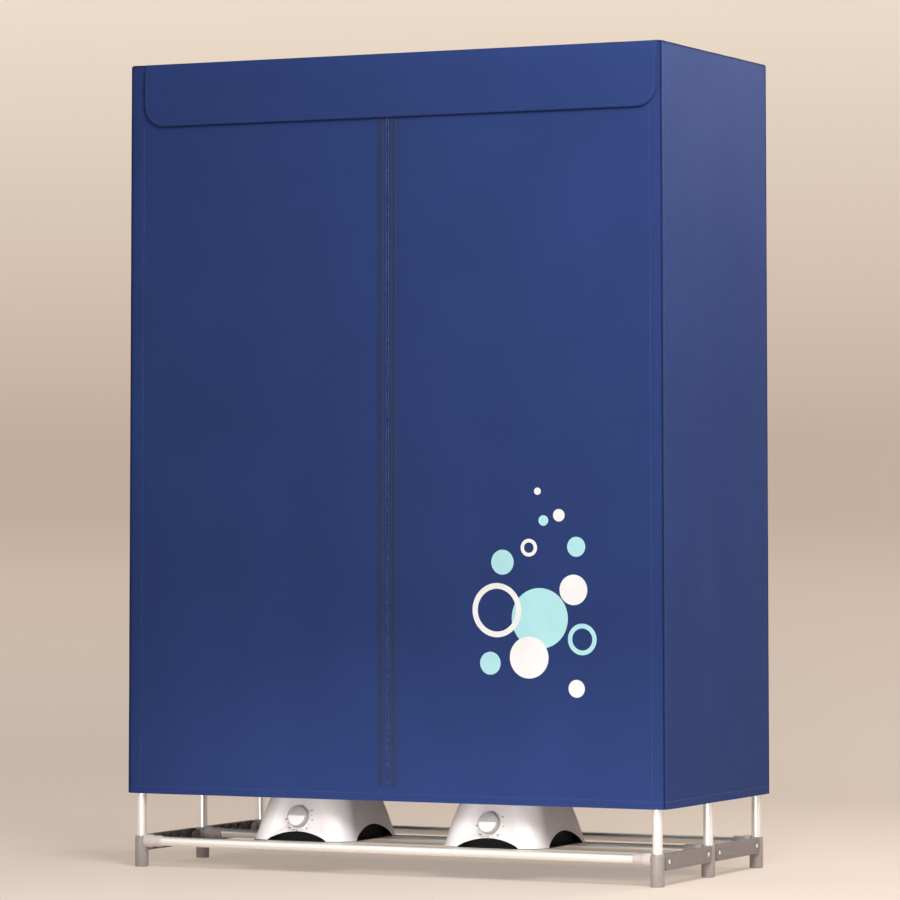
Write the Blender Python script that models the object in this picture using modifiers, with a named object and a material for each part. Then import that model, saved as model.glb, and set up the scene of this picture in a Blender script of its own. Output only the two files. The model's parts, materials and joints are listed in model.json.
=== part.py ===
"""Portable clothes dryer: a folding tube frame under a cloth cover, with two fan heaters on its bottom rails.

Metres, +Z up, front towards -Y. Everything hangs from one empty at the floor under the middle of the part.
"""
from math import atan, cos, exp, hypot, pi, radians, sin, sqrt

import bmesh
import bpy
from mathutils import Matrix, Vector

# Driving dimensions of the whole dryer
COVER_WIDTH = 1.155
COVER_DEPTH = 0.5315
COVER_TOP = 1.600
HEM_HEIGHT = 0.147

# Clearances that every piece shares
SEAT_GAP = 0.0003
CUT_OVERRUN = 0.002
WELD = 0.00001

# Tubes of the frame
POST_DIAMETER = 0.0195
RAIL_DIAMETER = 0.018
TUBE_WALL = 0.0008
POST_INSET_X = 0.018
POST_INSET_Y = 0.0155
TUBE_SIDES = 16

# Moulded connectors: six feet, and the same moulding upside down on the posts' tops
CONNECTOR_DIAMETER = 0.027
CONNECTOR_HEIGHT = 0.062
CONNECTOR_FLOOR = 0.012
CONNECTOR_CHAMFER = 0.0015
CONNECTOR_SIDES = 14
SLEEVE_DIAMETER = 0.026
SLEEVE_STEP_REACH = 0.0265
SLEEVE_REACH = 0.0475
SLEEVE_SIDES = 12
COLLAR_DIAMETER = 0.0225
SOCKET_SIDES = 12
RAIL_STOP = 0.012
RAIL_HEIGHT = 0.0515
EAR_THICKNESS = 0.0045
EAR_OFFSET = 0.0005
EAR_HEIGHT = 0.022
EAR_END_STEPS = 3
PIVOT_REACH = 0.028
PIVOT_HEIGHT = 0.046
PIVOT_RADIUS = 0.0028
PIVOT_CLEARANCE = 0.0003
PIVOT_HEAD_RADIUS = 0.005
PIVOT_HEAD_HEIGHT = 0.0014
PIVOT_SIDES = 8

# Side arms between the posts: channels with their ribs turned inwards
ARM_HEIGHT = 0.032
ARM_THICKNESS = 0.007
ARM_WALL = 0.002
ARM_RIM = 0.003
ARM_RIB = 0.0018
ARM_CORNER = 0.007
ARM_CORNER_STEPS = 2
ARM_POCKETS = 4
ARM_POCKET_MARGIN = 0.030
ARM_SLIP = 0.0005
ARM_END_GAP = 0.0004

# Cloth of the cover
CLOTH = 0.0014
FOLD_DEPTH = 0.0035
SIDE_FOLDS = 2
FRONT_FOLDS = 3
BACK_FOLDS = 4
FOLD_FADE_SHARE = 0.85
FOLD_PEAK_SHARE = 0.735

# Zip between the doors
ZIP_X = -0.0035
ZIP_SLOT = 0.0022
ZIP_BOTTOM = 0.176
ZIP_BAND_OFFSET = 0.0073
ZIP_BAND_WIDTH = 0.0145
ZIP_BAND_RISE = 0.0008
ZIP_BEAD_WIDTH = 0.0026
ZIP_BEAD_RISE = 0.0012
ZIP_TOP_DROP = 0.064
SLIDER_PARK_DROP = 0.088
SLIDER_WIDTH = 0.012
SLIDER_HEIGHT = 0.018
SLIDER_WALL = 0.0014
SLIDER_CLEARANCE = 0.0004
SLIDER_BEVEL = 0.002
DIVIDER_HEIGHT = 0.007
PULL_WIDTH = 0.007
PULL_LENGTH = 0.020
PULL_THICKNESS = 0.0012
PULL_DROP = 0.004

# Flap over the top of the doors
FLAP_LEFT_INSET = 0.0345
FLAP_RIGHT_INSET = 0.0075
FLAP_DROP = 0.1235
FLAP_CORNER = 0.042
FLAP_ROLL = 0.032
FLAP_STAND = 0.0085
DOOR_HEAD_GAP = 0.003

# Heater units
HEATER_SPACING = 0.415
HEATER_SHIFT = -0.0045
HEATER_SETBACK = 0.0031
HEATER_HALF_WIDTH = 0.1105
HEATER_OVERHANG = 0.0014
HEATER_HEIGHT = 0.100
HEATER_CORNER = 0.045
HEATER_WALL = 0.0025
HEATER_LEAN_SHARE = 0.19
HEATER_CURVE_RADIUS = 0.50
HEATER_SHOULDER = 0.012
HEATER_SHOULDER_STEPS = 2
HEATER_SIDE_ROWS = 3
HEATER_SIDE_COLUMNS = 5
HEATER_CORNER_COLUMNS = 4
LIP_REACH = 0.0015
LIP_RISE = 0.0012
LIP_FADE = 0.005
SKIRT_LOW = 0.004
SKIRT_END = 0.008
SKIRT_BOW = 0.006
SKIRT_REACH = 0.006
SKIRT_FADE_SHARE = 4
FRONT_ARCH = 0.0185
SIDE_ARCH = 0.0285
ARCH_FULLNESS = 0.65
OUTLET_RADIUS = 0.062
DUCT_RADIUS = 0.0615
DUCT_WALL = 0.002
DUCT_BOTTOM = 0.042
DUCT_SIDES = 20
LEDGE_HEIGHT = 0.070
LEDGE_THICKNESS = 0.002
LEDGE_REACH = 0.004
GRILLE_FLANGE = 0.0068
GRILLE_THICKNESS = 0.0022
GRILLE_HUB = 0.014
GRILLE_RING = 0.0022
GRILLE_BAR = 0.0024
GRILLE_SPOKES = 12
GRILLE_ROWS = 2
GRILLE_SLOT_STEPS = 1

# Base plate with its motor seat
PLATE_THICKNESS = 0.003
PLATE_INSET = 0.005
PLATE_CORNER_STEPS = 4
MOTOR_SEAT_RADIUS = 0.026
MOTOR_SEAT_HEIGHT = 0.012

# Motor and impeller
MOTOR_RADIUS = 0.022
MOTOR_HEIGHT = 0.026
MOTOR_CHAMFER = 0.002
MOTOR_COLLAR_RADIUS = 0.007
MOTOR_COLLAR_HEIGHT = 0.003
SHAFT_RADIUS = 0.0025
SHAFT_CLEARANCE = 0.0001
ROTOR_SIDES = 14
HUB_RADIUS = 0.019
HUB_HEIGHT = 0.018
HUB_CEILING = 0.003
HUB_ROUND = 0.003
HUB_LIFT = 0.002
BLADE_COUNT = 7
BLADE_TIP_GAP = 0.002
BLADE_ROOT_SINK = 0.002
BLADE_THICKNESS = 0.0016
BLADE_RISE = 0.013
BLADE_SPREAD = radians(34)
BLADE_SWEEP = radians(14)
BLADE_CAMBER = 0.0022
BLADE_CHORD_STEPS = 3
BLADE_SPAN_STEPS = 2

# Heating element: a block of fins on the duct's ledge
ELEMENT_WIDTH = 0.092
ELEMENT_DEPTH = 0.062
ELEMENT_THICKNESS = 0.014
ELEMENT_BORDER = 0.005
ELEMENT_TAB = 0.007
ELEMENT_FIN = 0.0022
ELEMENT_SLOTS = 9
ELEMENT_ROWS = 2

# Timer and its knob on the leaning front wall
TIMER_HEIGHT = 0.0464
TIMER_SHIFT = -0.0023
DIAL_PAD_RADIUS = 0.033
TIMER_SIZE = 0.034
TIMER_DEPTH = 0.018
TIMER_SHAFT_RADIUS = 0.0032
TIMER_SHAFT_REACH = 0.0085
BEZEL_RADIUS = 0.0235
BEZEL_RISE = 0.0012
BEZEL_ROOT = 0.0038
BEZEL_SIDES = 20
KNOB_RADIUS = 0.0212
KNOB_HEIGHT = 0.0125
KNOB_CHAMFER = 0.0015
KNOB_RIM = 0.0022
KNOB_RECESS = 0.0035
KNOB_RECESS_STEP = 0.0006
KNOB_BORE_DEPTH = 0.0095
KNOB_SIDES = 20

# Cable gland in the back wall
GLAND_HEIGHT = 0.042
GLAND_NECK_RADIUS = 0.0055
GLAND_CLEARANCE = 0.0004
GLAND_FLANGE_RADIUS = 0.0085
GLAND_FLANGE = 0.003
GLAND_NECK_LENGTH = 0.008
GLAND_TAIL = 0.009
GLAND_TAIL_RADIUS = 0.0048
GLAND_BORE_RADIUS = 0.003
GLAND_SIDES = 12

# Places worked out from the sizes above
POST_X = COVER_WIDTH / 2 - POST_INSET_X
POST_Y = COVER_DEPTH / 2 - POST_INSET_Y
CLOTH_TOP = COVER_TOP - CLOTH
FRAME_TOP = CLOTH_TOP - SEAT_GAP
FRONT_FACE = -COVER_DEPTH / 2
FLAP_FRONT = FRONT_FACE - SEAT_GAP - FLAP_STAND - CLOTH
MIDDLE_SHIFT = -(FLAP_FRONT + COVER_DEPTH / 2 + FOLD_DEPTH * FOLD_PEAK_SHARE) / 2
RAIL_TOP = RAIL_HEIGHT + RAIL_DIAMETER / 2
DOOR_TOP = COVER_TOP - FLAP_DROP - DOOR_HEAD_GAP
HEATER_Y = HEATER_SETBACK - POST_Y / 2
HEATER_HALF_DEPTH = POST_Y / 2 + HEATER_OVERHANG
HALF_SHARE = 0.5
ROW_POWER_SHARE = 1.5

ROWS = {"front": -POST_Y, "mid": 0, "rear": POST_Y}
SIDES = {"left": -1, "right": 1}

# Local X, Y and Z of a flat outline turned to Y, Z and X
SIDEWAYS = Matrix(((0, 0, 1), (1, 0, 0), (0, 1, 0))).to_4x4()


def clear_scene():
    for old in list(bpy.data.objects):
        bpy.data.objects.remove(old, do_unlink=True)


def new_collection(name):
    collection = bpy.data.collections.new(name)
    bpy.context.scene.collection.children.link(collection)
    return collection


def make_material(name, colour, roughness, metallic=0.0):
    material = bpy.data.materials.new(name)
    material.use_nodes = True
    shader = material.node_tree.nodes["Principled BSDF"]
    shader.inputs["Base Color"].default_value = (*colour, 1.0)
    shader.inputs["Roughness"].default_value = roughness
    shader.inputs["Metallic"].default_value = metallic
    material.diffuse_color = (*colour, 1.0)
    return material


clear_scene()
PARTS = new_collection("portable_clothes_dryer")
CUTTERS = new_collection("cutters")

STEEL = make_material("stainless_tube", (0.78, 0.77, 0.75), 0.22, 1.0)
GREY_PLASTIC = make_material("grey_moulding", (0.31, 0.30, 0.29), 0.55)
BLUE_CLOTH = make_material("blue_oxford_cloth", (0.035, 0.055, 0.19), 0.85)
BLUE_PAINT = make_material("zip_slider_paint", (0.05, 0.075, 0.24), 0.45)
WHITE_PLASTIC = make_material("white_housing", (0.80, 0.77, 0.78), 0.35)
BLACK_PLASTIC = make_material("black_moulding", (0.03, 0.03, 0.03), 0.5)
KNOB_PLASTIC = make_material("grey_knob", (0.55, 0.54, 0.55), 0.35)
ALUMINIUM = make_material("element_aluminium", (0.60, 0.60, 0.60), 0.4, 1.0)
MOTOR_STEEL = make_material("motor_can", (0.45, 0.45, 0.46), 0.4, 1.0)


def place(name, data, material=None, parent=None, location=(0, 0, 0), rotation=(0, 0, 0)):
    """One named object in the parts' collection."""
    piece = bpy.data.objects.new(name, data)
    PARTS.objects.link(piece)
    piece.parent = parent
    piece.location = location
    piece.rotation_euler = rotation
    if material and not data.materials:
        data.materials.append(material)
    return piece


def empty(name, location=(0, 0, 0), parent=None, rotation=(0, 0, 0)):
    return place(name, None, parent=parent, location=location, rotation=rotation)


def to_mesh(name, bm):
    mesh = bpy.data.meshes.new(name)
    bm.to_mesh(mesh)
    bm.free()
    return mesh


def smooth(mesh, angle=radians(35)):
    mesh.shade_smooth()
    mesh.set_sharp_from_angle(angle=angle)


def cylinder(name, radius, low, high, sides, top_radius=None):
    bm = bmesh.new()
    bmesh.ops.create_cone(
        bm, cap_ends=True, segments=sides, radius1=radius, radius2=top_radius or radius,
        depth=high - low, matrix=Matrix.Translation((0, 0, (high + low) / 2)))
    mesh = to_mesh(name, bm)
    smooth(mesh)
    return mesh


def box(name, low, high):
    size = Vector(high) - Vector(low)
    middle = (Vector(high) + Vector(low)) / 2
    bm = bmesh.new()
    bmesh.ops.create_cube(bm, size=1, matrix=Matrix.Translation(middle) @ Matrix.Diagonal((*size, 1)))
    return to_mesh(name, bm)


def joined(name, meshes):
    """Several loose bodies in one mesh, for a cutter or a set of blades."""
    bm = bmesh.new()
    for mesh in meshes:
        bm.from_mesh(mesh)
    return to_mesh(name, bm)


def turned(name, profile, sides, closed=False, material=None, **where):
    """A profile of (radius, height) points, outer side from top to bottom, turned about Z."""
    edges = [(i, i + 1) for i in range(len(profile) - 1)]
    if closed:
        edges.append((len(profile) - 1, 0))
    mesh = bpy.data.meshes.new(name)
    mesh.from_pydata([(radius, 0, height) for radius, height in profile], edges, [])
    piece = place(name, mesh, material, **where)
    screw = piece.modifiers.new("turn", "SCREW")
    screw.steps = sides
    screw.render_steps = sides
    screw.use_merge_vertices = True
    screw.merge_threshold = WELD
    screw.use_smooth_shade = False
    return piece


def flat(name, outline, thickness, holes=()):
    """A flat outline in XY with its holes, thickness along Z and centred on it."""
    curve = bpy.data.curves.new(name, "CURVE")
    curve.dimensions = "2D"
    curve.fill_mode = "BOTH"
    curve.extrude = thickness / 2
    for loop in (outline, *holes):
        spline = curve.splines.new("POLY")
        spline.points.add(len(loop) - 1)
        for point, (x, y) in zip(spline.points, loop):
            point.co = (x, y, 0, 1)
        spline.use_cyclic_u = True
    return frozen(place(name, curve))


def frozen(piece, *helpers):
    """The welded mesh of a piece with its modifiers applied; the piece and its helpers go."""
    bpy.context.view_layer.update()
    evaluated = piece.evaluated_get(bpy.context.evaluated_depsgraph_get())
    mesh = bpy.data.meshes.new_from_object(evaluated)
    bm = bmesh.new()
    bm.from_mesh(mesh)
    bmesh.ops.remove_doubles(bm, verts=bm.verts, dist=WELD)
    bmesh.ops.recalc_face_normals(bm, faces=bm.faces)
    bm.to_mesh(mesh)
    bm.free()
    mesh.materials.clear()
    for old in (piece, *helpers):
        bpy.data.objects.remove(old, do_unlink=True)
    return mesh


def turned_mesh(name, profile, sides, closed=False):
    return frozen(turned(name, profile, sides, closed))


def shifted(mesh, *matrices):
    for matrix in matrices:
        mesh.transform(matrix)
    return mesh


def shape_with(piece, mesh, operation):
    """Join a helper mesh to a piece, or cut it out, in the piece's own space."""
    helper = bpy.data.objects.new(f"{piece.name}_{mesh.name}", mesh)
    CUTTERS.objects.link(helper)
    helper.parent = piece
    helper.hide_render = True
    helper.display_type = "WIRE"
    boolean = piece.modifiers.new(mesh.name, "BOOLEAN")
    boolean.operation = operation
    boolean.solver = "EXACT"
    boolean.object = helper
    return helper


def add(piece, mesh):
    return shape_with(piece, mesh, "UNION")


def cut(piece, mesh):
    return shape_with(piece, mesh, "DIFFERENCE")


def arc(centre, radius, start, end, steps):
    return [(centre[0] + radius * cos(start + (end - start) * i / steps),
             centre[1] + radius * sin(start + (end - start) * i / steps)) for i in range(steps + 1)]


def rounded_rectangle(half_x, half_y, corner, steps):
    points = []
    for turn, (sign_x, sign_y) in enumerate(((1, 1), (-1, 1), (-1, -1), (1, -1))):
        centre = (sign_x * (half_x - corner), sign_y * (half_y - corner))
        points += arc(centre, corner, turn * pi / 2, (turn + 1) * pi / 2, steps)
    return points


def tube(name, length, diameter, **where):
    """A hollow tube along local Z, open at both ends."""
    outer = diameter / 2
    inner = outer - TUBE_WALL
    profile = [(outer, length), (outer, 0), (inner, 0), (inner, length)]
    return turned(name, profile, TUBE_SIDES, closed=True, material=STEEL, **where)


def socket_radius(diameter):
    """Corner radius of a socket whose flats clear the tube all round."""
    return (diameter / 2 + SEAT_GAP) / cos(pi / SOCKET_SIDES)


def ear_outline(direction):
    """Tab from the connector's axis to its rounded end past the pivot, in (depth, height)."""
    half = EAR_HEIGHT / 2
    end = arc((PIVOT_REACH, PIVOT_HEIGHT), half, -pi / 2, pi / 2, EAR_END_STEPS)
    points = [(0, PIVOT_HEIGHT - half), *end, (0, PIVOT_HEIGHT + half)]
    if direction > 0:
        return points
    return [(-y, z) for y, z in reversed(points)]


def rivet_mesh():
    """Shank with a domed head, along +X from the ear's outer face."""
    arm_start = EAR_OFFSET + EAR_THICKNESS + ARM_SLIP
    head_start = arm_start + ARM_THICKNESS + SEAT_GAP
    root = EAR_OFFSET + EAR_THICKNESS / 2
    profile = [
        (0, head_start + PIVOT_HEAD_HEIGHT),
        (PIVOT_HEAD_RADIUS / 2, head_start + PIVOT_HEAD_HEIGHT),
        (PIVOT_HEAD_RADIUS, head_start + PIVOT_HEAD_HEIGHT / 2),
        (PIVOT_HEAD_RADIUS, head_start),
        (PIVOT_RADIUS, head_start),
        (PIVOT_RADIUS, root),
        (0, root)]
    return shifted(turned_mesh("rivet", profile, PIVOT_SIDES), Matrix.Rotation(pi / 2, 4, "Y"))


def connector_mesh(directions):
    """Right foot: socket for the post, sleeve inwards for the rail, one ear for each arm."""
    radius = CONNECTOR_DIAMETER / 2
    body = turned("connector", [
        (0, CONNECTOR_HEIGHT),
        (radius - CONNECTOR_CHAMFER, CONNECTOR_HEIGHT),
        (radius, CONNECTOR_HEIGHT - CONNECTOR_CHAMFER),
        (radius, 0),
        (0, 0)], CONNECTOR_SIDES)
    to_rail = Matrix.Translation((0, 0, RAIL_HEIGHT)) @ Matrix.Rotation(-pi / 2, 4, "Y")
    sleeve = turned_mesh("sleeve", [
        (0, SLEEVE_REACH),
        (COLLAR_DIAMETER / 2, SLEEVE_REACH),
        (COLLAR_DIAMETER / 2, SLEEVE_STEP_REACH + CONNECTOR_CHAMFER),
        (SLEEVE_DIAMETER / 2, SLEEVE_STEP_REACH),
        (SLEEVE_DIAMETER / 2, 0),
        (0, 0)], SLEEVE_SIDES)
    helpers = [add(body, shifted(sleeve, to_rail))]
    for direction in directions:
        ear = flat("ear", ear_outline(direction), EAR_THICKNESS)
        shifted(ear, SIDEWAYS, Matrix.Translation((EAR_OFFSET + EAR_THICKNESS / 2, 0, 0)))
        helpers.append(add(body, ear))
        pin_place = Matrix.Translation((0, direction * PIVOT_REACH, PIVOT_HEIGHT))
        helpers.append(add(body, shifted(rivet_mesh(), pin_place)))
    post_socket = cylinder(
        "post_socket", socket_radius(POST_DIAMETER), CONNECTOR_FLOOR,
        SLEEVE_DIAMETER / 2 + RAIL_HEIGHT + CUT_OVERRUN, SOCKET_SIDES)
    helpers.append(cut(body, post_socket))
    rail_socket = cylinder(
        "rail_socket", socket_radius(RAIL_DIAMETER), RAIL_STOP, SLEEVE_REACH + CUT_OVERRUN, SOCKET_SIDES)
    helpers.append(cut(body, shifted(rail_socket, to_rail)))
    mesh = frozen(body, *helpers)
    smooth(mesh)
    return mesh


def arm_half_length():
    start = EAR_OFFSET + EAR_THICKNESS + ARM_SLIP
    beside_foot = sqrt((CONNECTOR_DIAMETER / 2) ** 2 - start ** 2) + ARM_END_GAP
    return POST_Y / 2 - beside_foot


def arm_mesh():
    """Channel between two connectors, pockets and ribs inside, centred on its own middle, outwards +X."""
    half = arm_half_length()
    outline = rounded_rectangle(half, ARM_HEIGHT / 2, ARM_CORNER, ARM_CORNER_STEPS)
    middle = EAR_OFFSET + EAR_THICKNESS + ARM_SLIP + ARM_THICKNESS / 2
    to_middle = Matrix.Translation((middle, 0, 0))
    body = place("arm", shifted(flat("arm", outline, ARM_THICKNESS), SIDEWAYS, to_middle))
    pitch = 2 * (half - ARM_POCKET_MARGIN) / ARM_POCKETS
    inner = middle - ARM_THICKNESS / 2 - CUT_OVERRUN
    floor = middle + ARM_THICKNESS / 2 - ARM_WALL
    pockets = []
    for i in range(ARM_POCKETS):
        start = ARM_POCKET_MARGIN - half + i * pitch
        pockets.append(box(
            "pocket", (inner, start + ARM_RIB / 2, ARM_RIM - ARM_HEIGHT / 2),
            (floor, start + pitch - ARM_RIB / 2, ARM_HEIGHT / 2 - ARM_RIM)))
    helpers = [cut(body, joined("pockets", pockets))]
    for direction in (-1, 1):
        hole = cylinder("pivot_hole", PIVOT_RADIUS + PIVOT_CLEARANCE, inner, floor + ARM_WALL + CUT_OVERRUN,
                        PIVOT_SIDES)
        from_middle = Matrix.Translation((0, direction * (POST_Y / 2 - PIVOT_REACH), 0))
        helpers.append(cut(body, shifted(hole, Matrix.Rotation(pi / 2, 4, "Y"), from_middle)))
    return frozen(body, *helpers)


def build_frame(root):
    """Posts, connectors, rails and side arms."""
    turns = {("bottom", "right"): (0, 0, 0), ("bottom", "left"): (0, 0, pi),
             ("top", "left"): (0, pi, 0), ("top", "right"): (pi, 0, 0)}
    ears = {"front": (1,), "mid": (-1, 1), "rear": (-1,)}
    connectors = {directions: connector_mesh(directions) for directions in ((1,), (-1,), (-1, 1))}
    arm = arm_mesh()
    bases = {"bottom": 0, "top": FRAME_TOP}
    names = {"bottom": "foot", "top": "top_corner"}
    post_low = CONNECTOR_FLOOR + SEAT_GAP
    rail_half = POST_X - RAIL_STOP - SEAT_GAP
    for side, sign in SIDES.items():
        for row, depth in ROWS.items():
            tube(f"post_{row}_{side}", FRAME_TOP - 2 * post_low, POST_DIAMETER,
                 parent=root, location=(sign * POST_X, depth, post_low))
            for level, base in bases.items():
                turn = turns[level, side]
                flipped = turn[0] or turn[2]
                directions = tuple(sorted(-d if flipped else d for d in ears[row]))
                place(f"{names[level]}_{row}_{side}", connectors[directions], GREY_PLASTIC,
                      parent=root, location=(sign * POST_X, depth, base), rotation=turn)
        for level, base in bases.items():
            height = PIVOT_HEIGHT if level == "bottom" else base - PIVOT_HEIGHT
            for bay, middle in (("front", -POST_Y / 2), ("rear", POST_Y / 2)):
                place(f"side_arm_{level}_{bay}_{side}", arm, GREY_PLASTIC, parent=root,
                      location=(sign * POST_X, middle, height), rotation=(0, 0, 0 if sign > 0 else pi))
    for level, base in bases.items():
        height = RAIL_HEIGHT if level == "bottom" else base - RAIL_HEIGHT
        for row, depth in ROWS.items():
            tube(f"rail_{level}_{row}", 2 * rail_half, RAIL_DIAMETER, parent=root,
                 location=(-rail_half, depth, height), rotation=(0, pi / 2, 0))


def sheet(name, columns, rows, point, parent):
    """Cloth: an open grid of (across, up) shares set in space by point, with its wall inwards."""
    bm = bmesh.new()
    bmesh.ops.create_grid(bm, x_segments=columns, y_segments=rows, size=HALF_SHARE)
    for vert in bm.verts:
        vert.co = point(vert.co.x + HALF_SHARE, vert.co.y + HALF_SHARE)
    mesh = to_mesh(name, bm)
    mesh.shade_smooth()
    piece = place(name, mesh, BLUE_CLOTH, parent=parent)
    wall = piece.modifiers.new("wall", "SOLIDIFY")
    wall.thickness = CLOTH
    wall.offset = -1
    return piece


def hang(across, up, folds):
    """Outward swell of a hanging panel: soft folds that fade out at its seams and towards its top."""
    wave = sin(folds * pi * across) ** 2 * sin(pi * across)
    return FOLD_DEPTH * wave * (1 - up) ** FOLD_FADE_SHARE * min(1, up * folds + HALF_SHARE)


def build_cover(root):
    """Top, sides and back as sewn panels, the fixed header behind the flap."""
    half = COVER_WIDTH / 2
    back = COVER_DEPTH / 2
    side_top = FRAME_TOP
    drop = side_top - HEM_HEIGHT
    side_front = FRONT_FACE + CLOTH + SEAT_GAP
    side_back = back - CLOTH - SEAT_GAP
    depth = side_back - side_front

    sheet("cover_top", 4, 2, lambda across, up: (
        -half + COVER_WIDTH * across, FRONT_FACE + COVER_DEPTH * up, COVER_TOP), root)
    sheet("cover_right", 8, 6, lambda across, up: (
        half + hang(across, up, SIDE_FOLDS), side_front + depth * across, HEM_HEIGHT + drop * up), root)
    sheet("cover_left", 8, 6, lambda across, up: (
        -half - hang(across, up, SIDE_FOLDS), side_back - depth * across, HEM_HEIGHT + drop * up), root)
    sheet("cover_back", 14, 6, lambda across, up: (
        half - COVER_WIDTH * across, back + hang(across, up, BACK_FOLDS), HEM_HEIGHT + drop * up), root)

    header_low = DOOR_TOP + SEAT_GAP
    zip_top = COVER_TOP - ZIP_TOP_DROP
    header = sheet("cover_header", 2, 1, lambda across, up: (
        -half + COVER_WIDTH * across, FRONT_FACE, header_low + (side_top - header_low) * up), root)
    for sign in (-1, 1):
        add_zip_half(header, sign, header_low, zip_top)
    slot_half = Vector((ZIP_SLOT / 2, 2 * CLOTH + CUT_OVERRUN, 0))
    cut(header, box("zip_slot", Vector((ZIP_X, FRONT_FACE, header_low - CUT_OVERRUN)) - slot_half,
                    Vector((ZIP_X, FRONT_FACE, zip_top)) + slot_half))


def add_zip_half(panel, sign, low, high):
    """Sewn band and toothed bead on one side of the zip's slot."""
    near = ZIP_X + sign * ZIP_BAND_OFFSET
    far = near + sign * ZIP_BAND_WIDTH
    add(panel, box("zip_band", (min(near, far), FRONT_FACE - ZIP_BAND_RISE, low),
                   (max(near, far), FRONT_FACE + CLOTH / 2, high)))
    edge = ZIP_X + sign * ZIP_SLOT / 2
    root = edge + sign * ZIP_BEAD_WIDTH
    add(panel, box("zip_bead", (min(edge, root), FRONT_FACE - ZIP_BEAD_RISE, low),
                   (max(edge, root), FRONT_FACE + CLOTH + ZIP_BEAD_RISE, high)))


def build_doors(root):
    """Two cloth doors, each hinged on its outer seam, with its half of the zip."""
    low, high = HEM_HEIGHT, DOOR_TOP
    hinge = COVER_WIDTH / 2 - CLOTH - SEAT_GAP
    for side, sign in SIDES.items():
        outer = sign * hinge
        inner = ZIP_X + sign * ZIP_SLOT / 2
        start, width = (outer, inner - outer) if sign < 0 else (inner, outer - inner)
        seam = empty(f"door_{side}_seam", (outer, FRONT_FACE, 0), root)
        door = sheet(f"door_{side}", 9, 6, lambda across, up: (
            start + width * across - outer, -hang(across, up, FRONT_FOLDS), low + (high - low) * up), seam)
        door_helpers = empty(f"door_{side}_sewing", (-outer, -FRONT_FACE, 0), seam)
        first = len(door.modifiers)
        add_zip_half(door, sign, ZIP_BOTTOM, high)
        for boolean in list(door.modifiers)[first:]:
            boolean.object.parent = door_helpers


def corner_inset(rise):
    """How far each end of the flap draws in at a height above its lower edge, for its round corner."""
    if rise >= FLAP_CORNER:
        return 0
    return FLAP_CORNER - sqrt(FLAP_CORNER ** 2 - (FLAP_CORNER - rise) ** 2)


def build_flap(root):
    """Flap sewn along the top front edge, clear of the zip's slider; it turns about its outer top edge."""
    half = COVER_WIDTH / 2
    seam = empty("flap_seam", (0, FRONT_FACE - SEAT_GAP - CLOTH, COVER_TOP), root)

    def point(across, up):
        rise = FLAP_DROP * up ** ROW_POWER_SHARE
        left = FLAP_LEFT_INSET + corner_inset(rise) - half
        right = half - FLAP_RIGHT_INSET - corner_inset(rise)
        fall = min(1, (FLAP_DROP - rise) / FLAP_ROLL)
        stand = FLAP_STAND * fall * (2 - fall)
        return left + (right - left) * across, -stand, rise - FLAP_DROP

    sheet("cover_flap", 10, 9, point, seam)


def build_slider(root):
    """Slider with wings before and behind the teeth, a divider in their slot, and its pull."""
    front = FRONT_FACE - ZIP_BEAD_RISE - SLIDER_CLEARANCE
    back = FRONT_FACE + CLOTH + ZIP_BEAD_RISE + SLIDER_CLEARANCE
    half = SLIDER_HEIGHT / 2
    track = empty("zip_track", (ZIP_X, 0, COVER_TOP - SLIDER_PARK_DROP), root)
    divider = ZIP_SLOT / 2 - SLIDER_CLEARANCE
    wing = box("front_wing", (-SLIDER_WIDTH / 2, front - SLIDER_WALL, -half), (SLIDER_WIDTH / 2, front, half))
    slider = place("zip_slider", wing, BLUE_PAINT, parent=track)
    add(slider, box("back_wing", (-SLIDER_WIDTH / 2, back, -half),
                    (SLIDER_WIDTH / 2, back + SLIDER_WALL, half)))
    add(slider, box("divider", (-divider, front - SLIDER_WALL / 2, half - DIVIDER_HEIGHT),
                    (divider, back + SLIDER_WALL / 2, half - SLIDER_BEVEL)))
    pull_top = half - PULL_DROP
    add(slider, box("pull", (-PULL_WIDTH / 2, front - SLIDER_WALL - PULL_THICKNESS, pull_top - PULL_LENGTH),
                    (PULL_WIDTH / 2, front - SLIDER_WALL / 2, pull_top)))


def inset_at(height, skirt=SKIRT_REACH):
    """How far the wall has come in at a height: a lean, a widening curve, its lip and its skirt."""
    lean = HEATER_LEAN_SHARE * height + height ** 2 / (2 * HEATER_CURVE_RADIUS)
    return lean + LIP_REACH + skirt


def lean_angle(height):
    return atan(HEATER_LEAN_SHARE + height / HEATER_CURVE_RADIUS)


def housing_columns():
    """Shares round the housing: (side, place along its straight stretch, or turn within its corner)."""
    for side in range(4):
        for i in range(HEATER_SIDE_COLUMNS):
            yield side, i / HEATER_SIDE_COLUMNS * 2 - 1, 0
        for i in range(HEATER_CORNER_COLUMNS):
            yield side, 1, i / HEATER_CORNER_COLUMNS


def housing_point(side, along, turn, inset):
    """Point on the rounded rectangle drawn in by inset; side 0 is the front, then right, back, left."""
    half_x = HEATER_HALF_WIDTH - inset - HEATER_CORNER
    half_y = HEATER_HALF_DEPTH - inset - HEATER_CORNER
    angle = side * pi / 2 - pi / 2
    run, reach = (half_x, half_y) if side % 2 == 0 else (half_y, half_x)
    swing = angle + turn * pi / 2
    forward = Vector((cos(angle), sin(angle)))
    along_side = Vector((-sin(angle), cos(angle)))
    centre = forward * reach + along_side * (along * run)
    return centre + HEATER_CORNER * Vector((cos(swing), sin(swing)))


def skirt_fade(side, along):
    """Share of the skirt's flare along the front and the back; the sides and the corners have none."""
    return 1 - abs(along) ** SKIRT_FADE_SHARE if side % 2 == 0 else 0


def skirt_band(side, along):
    """Height from the arched edge to the skirt's crease."""
    return SKIRT_END + SKIRT_BOW * skirt_fade(side, along)


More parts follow.
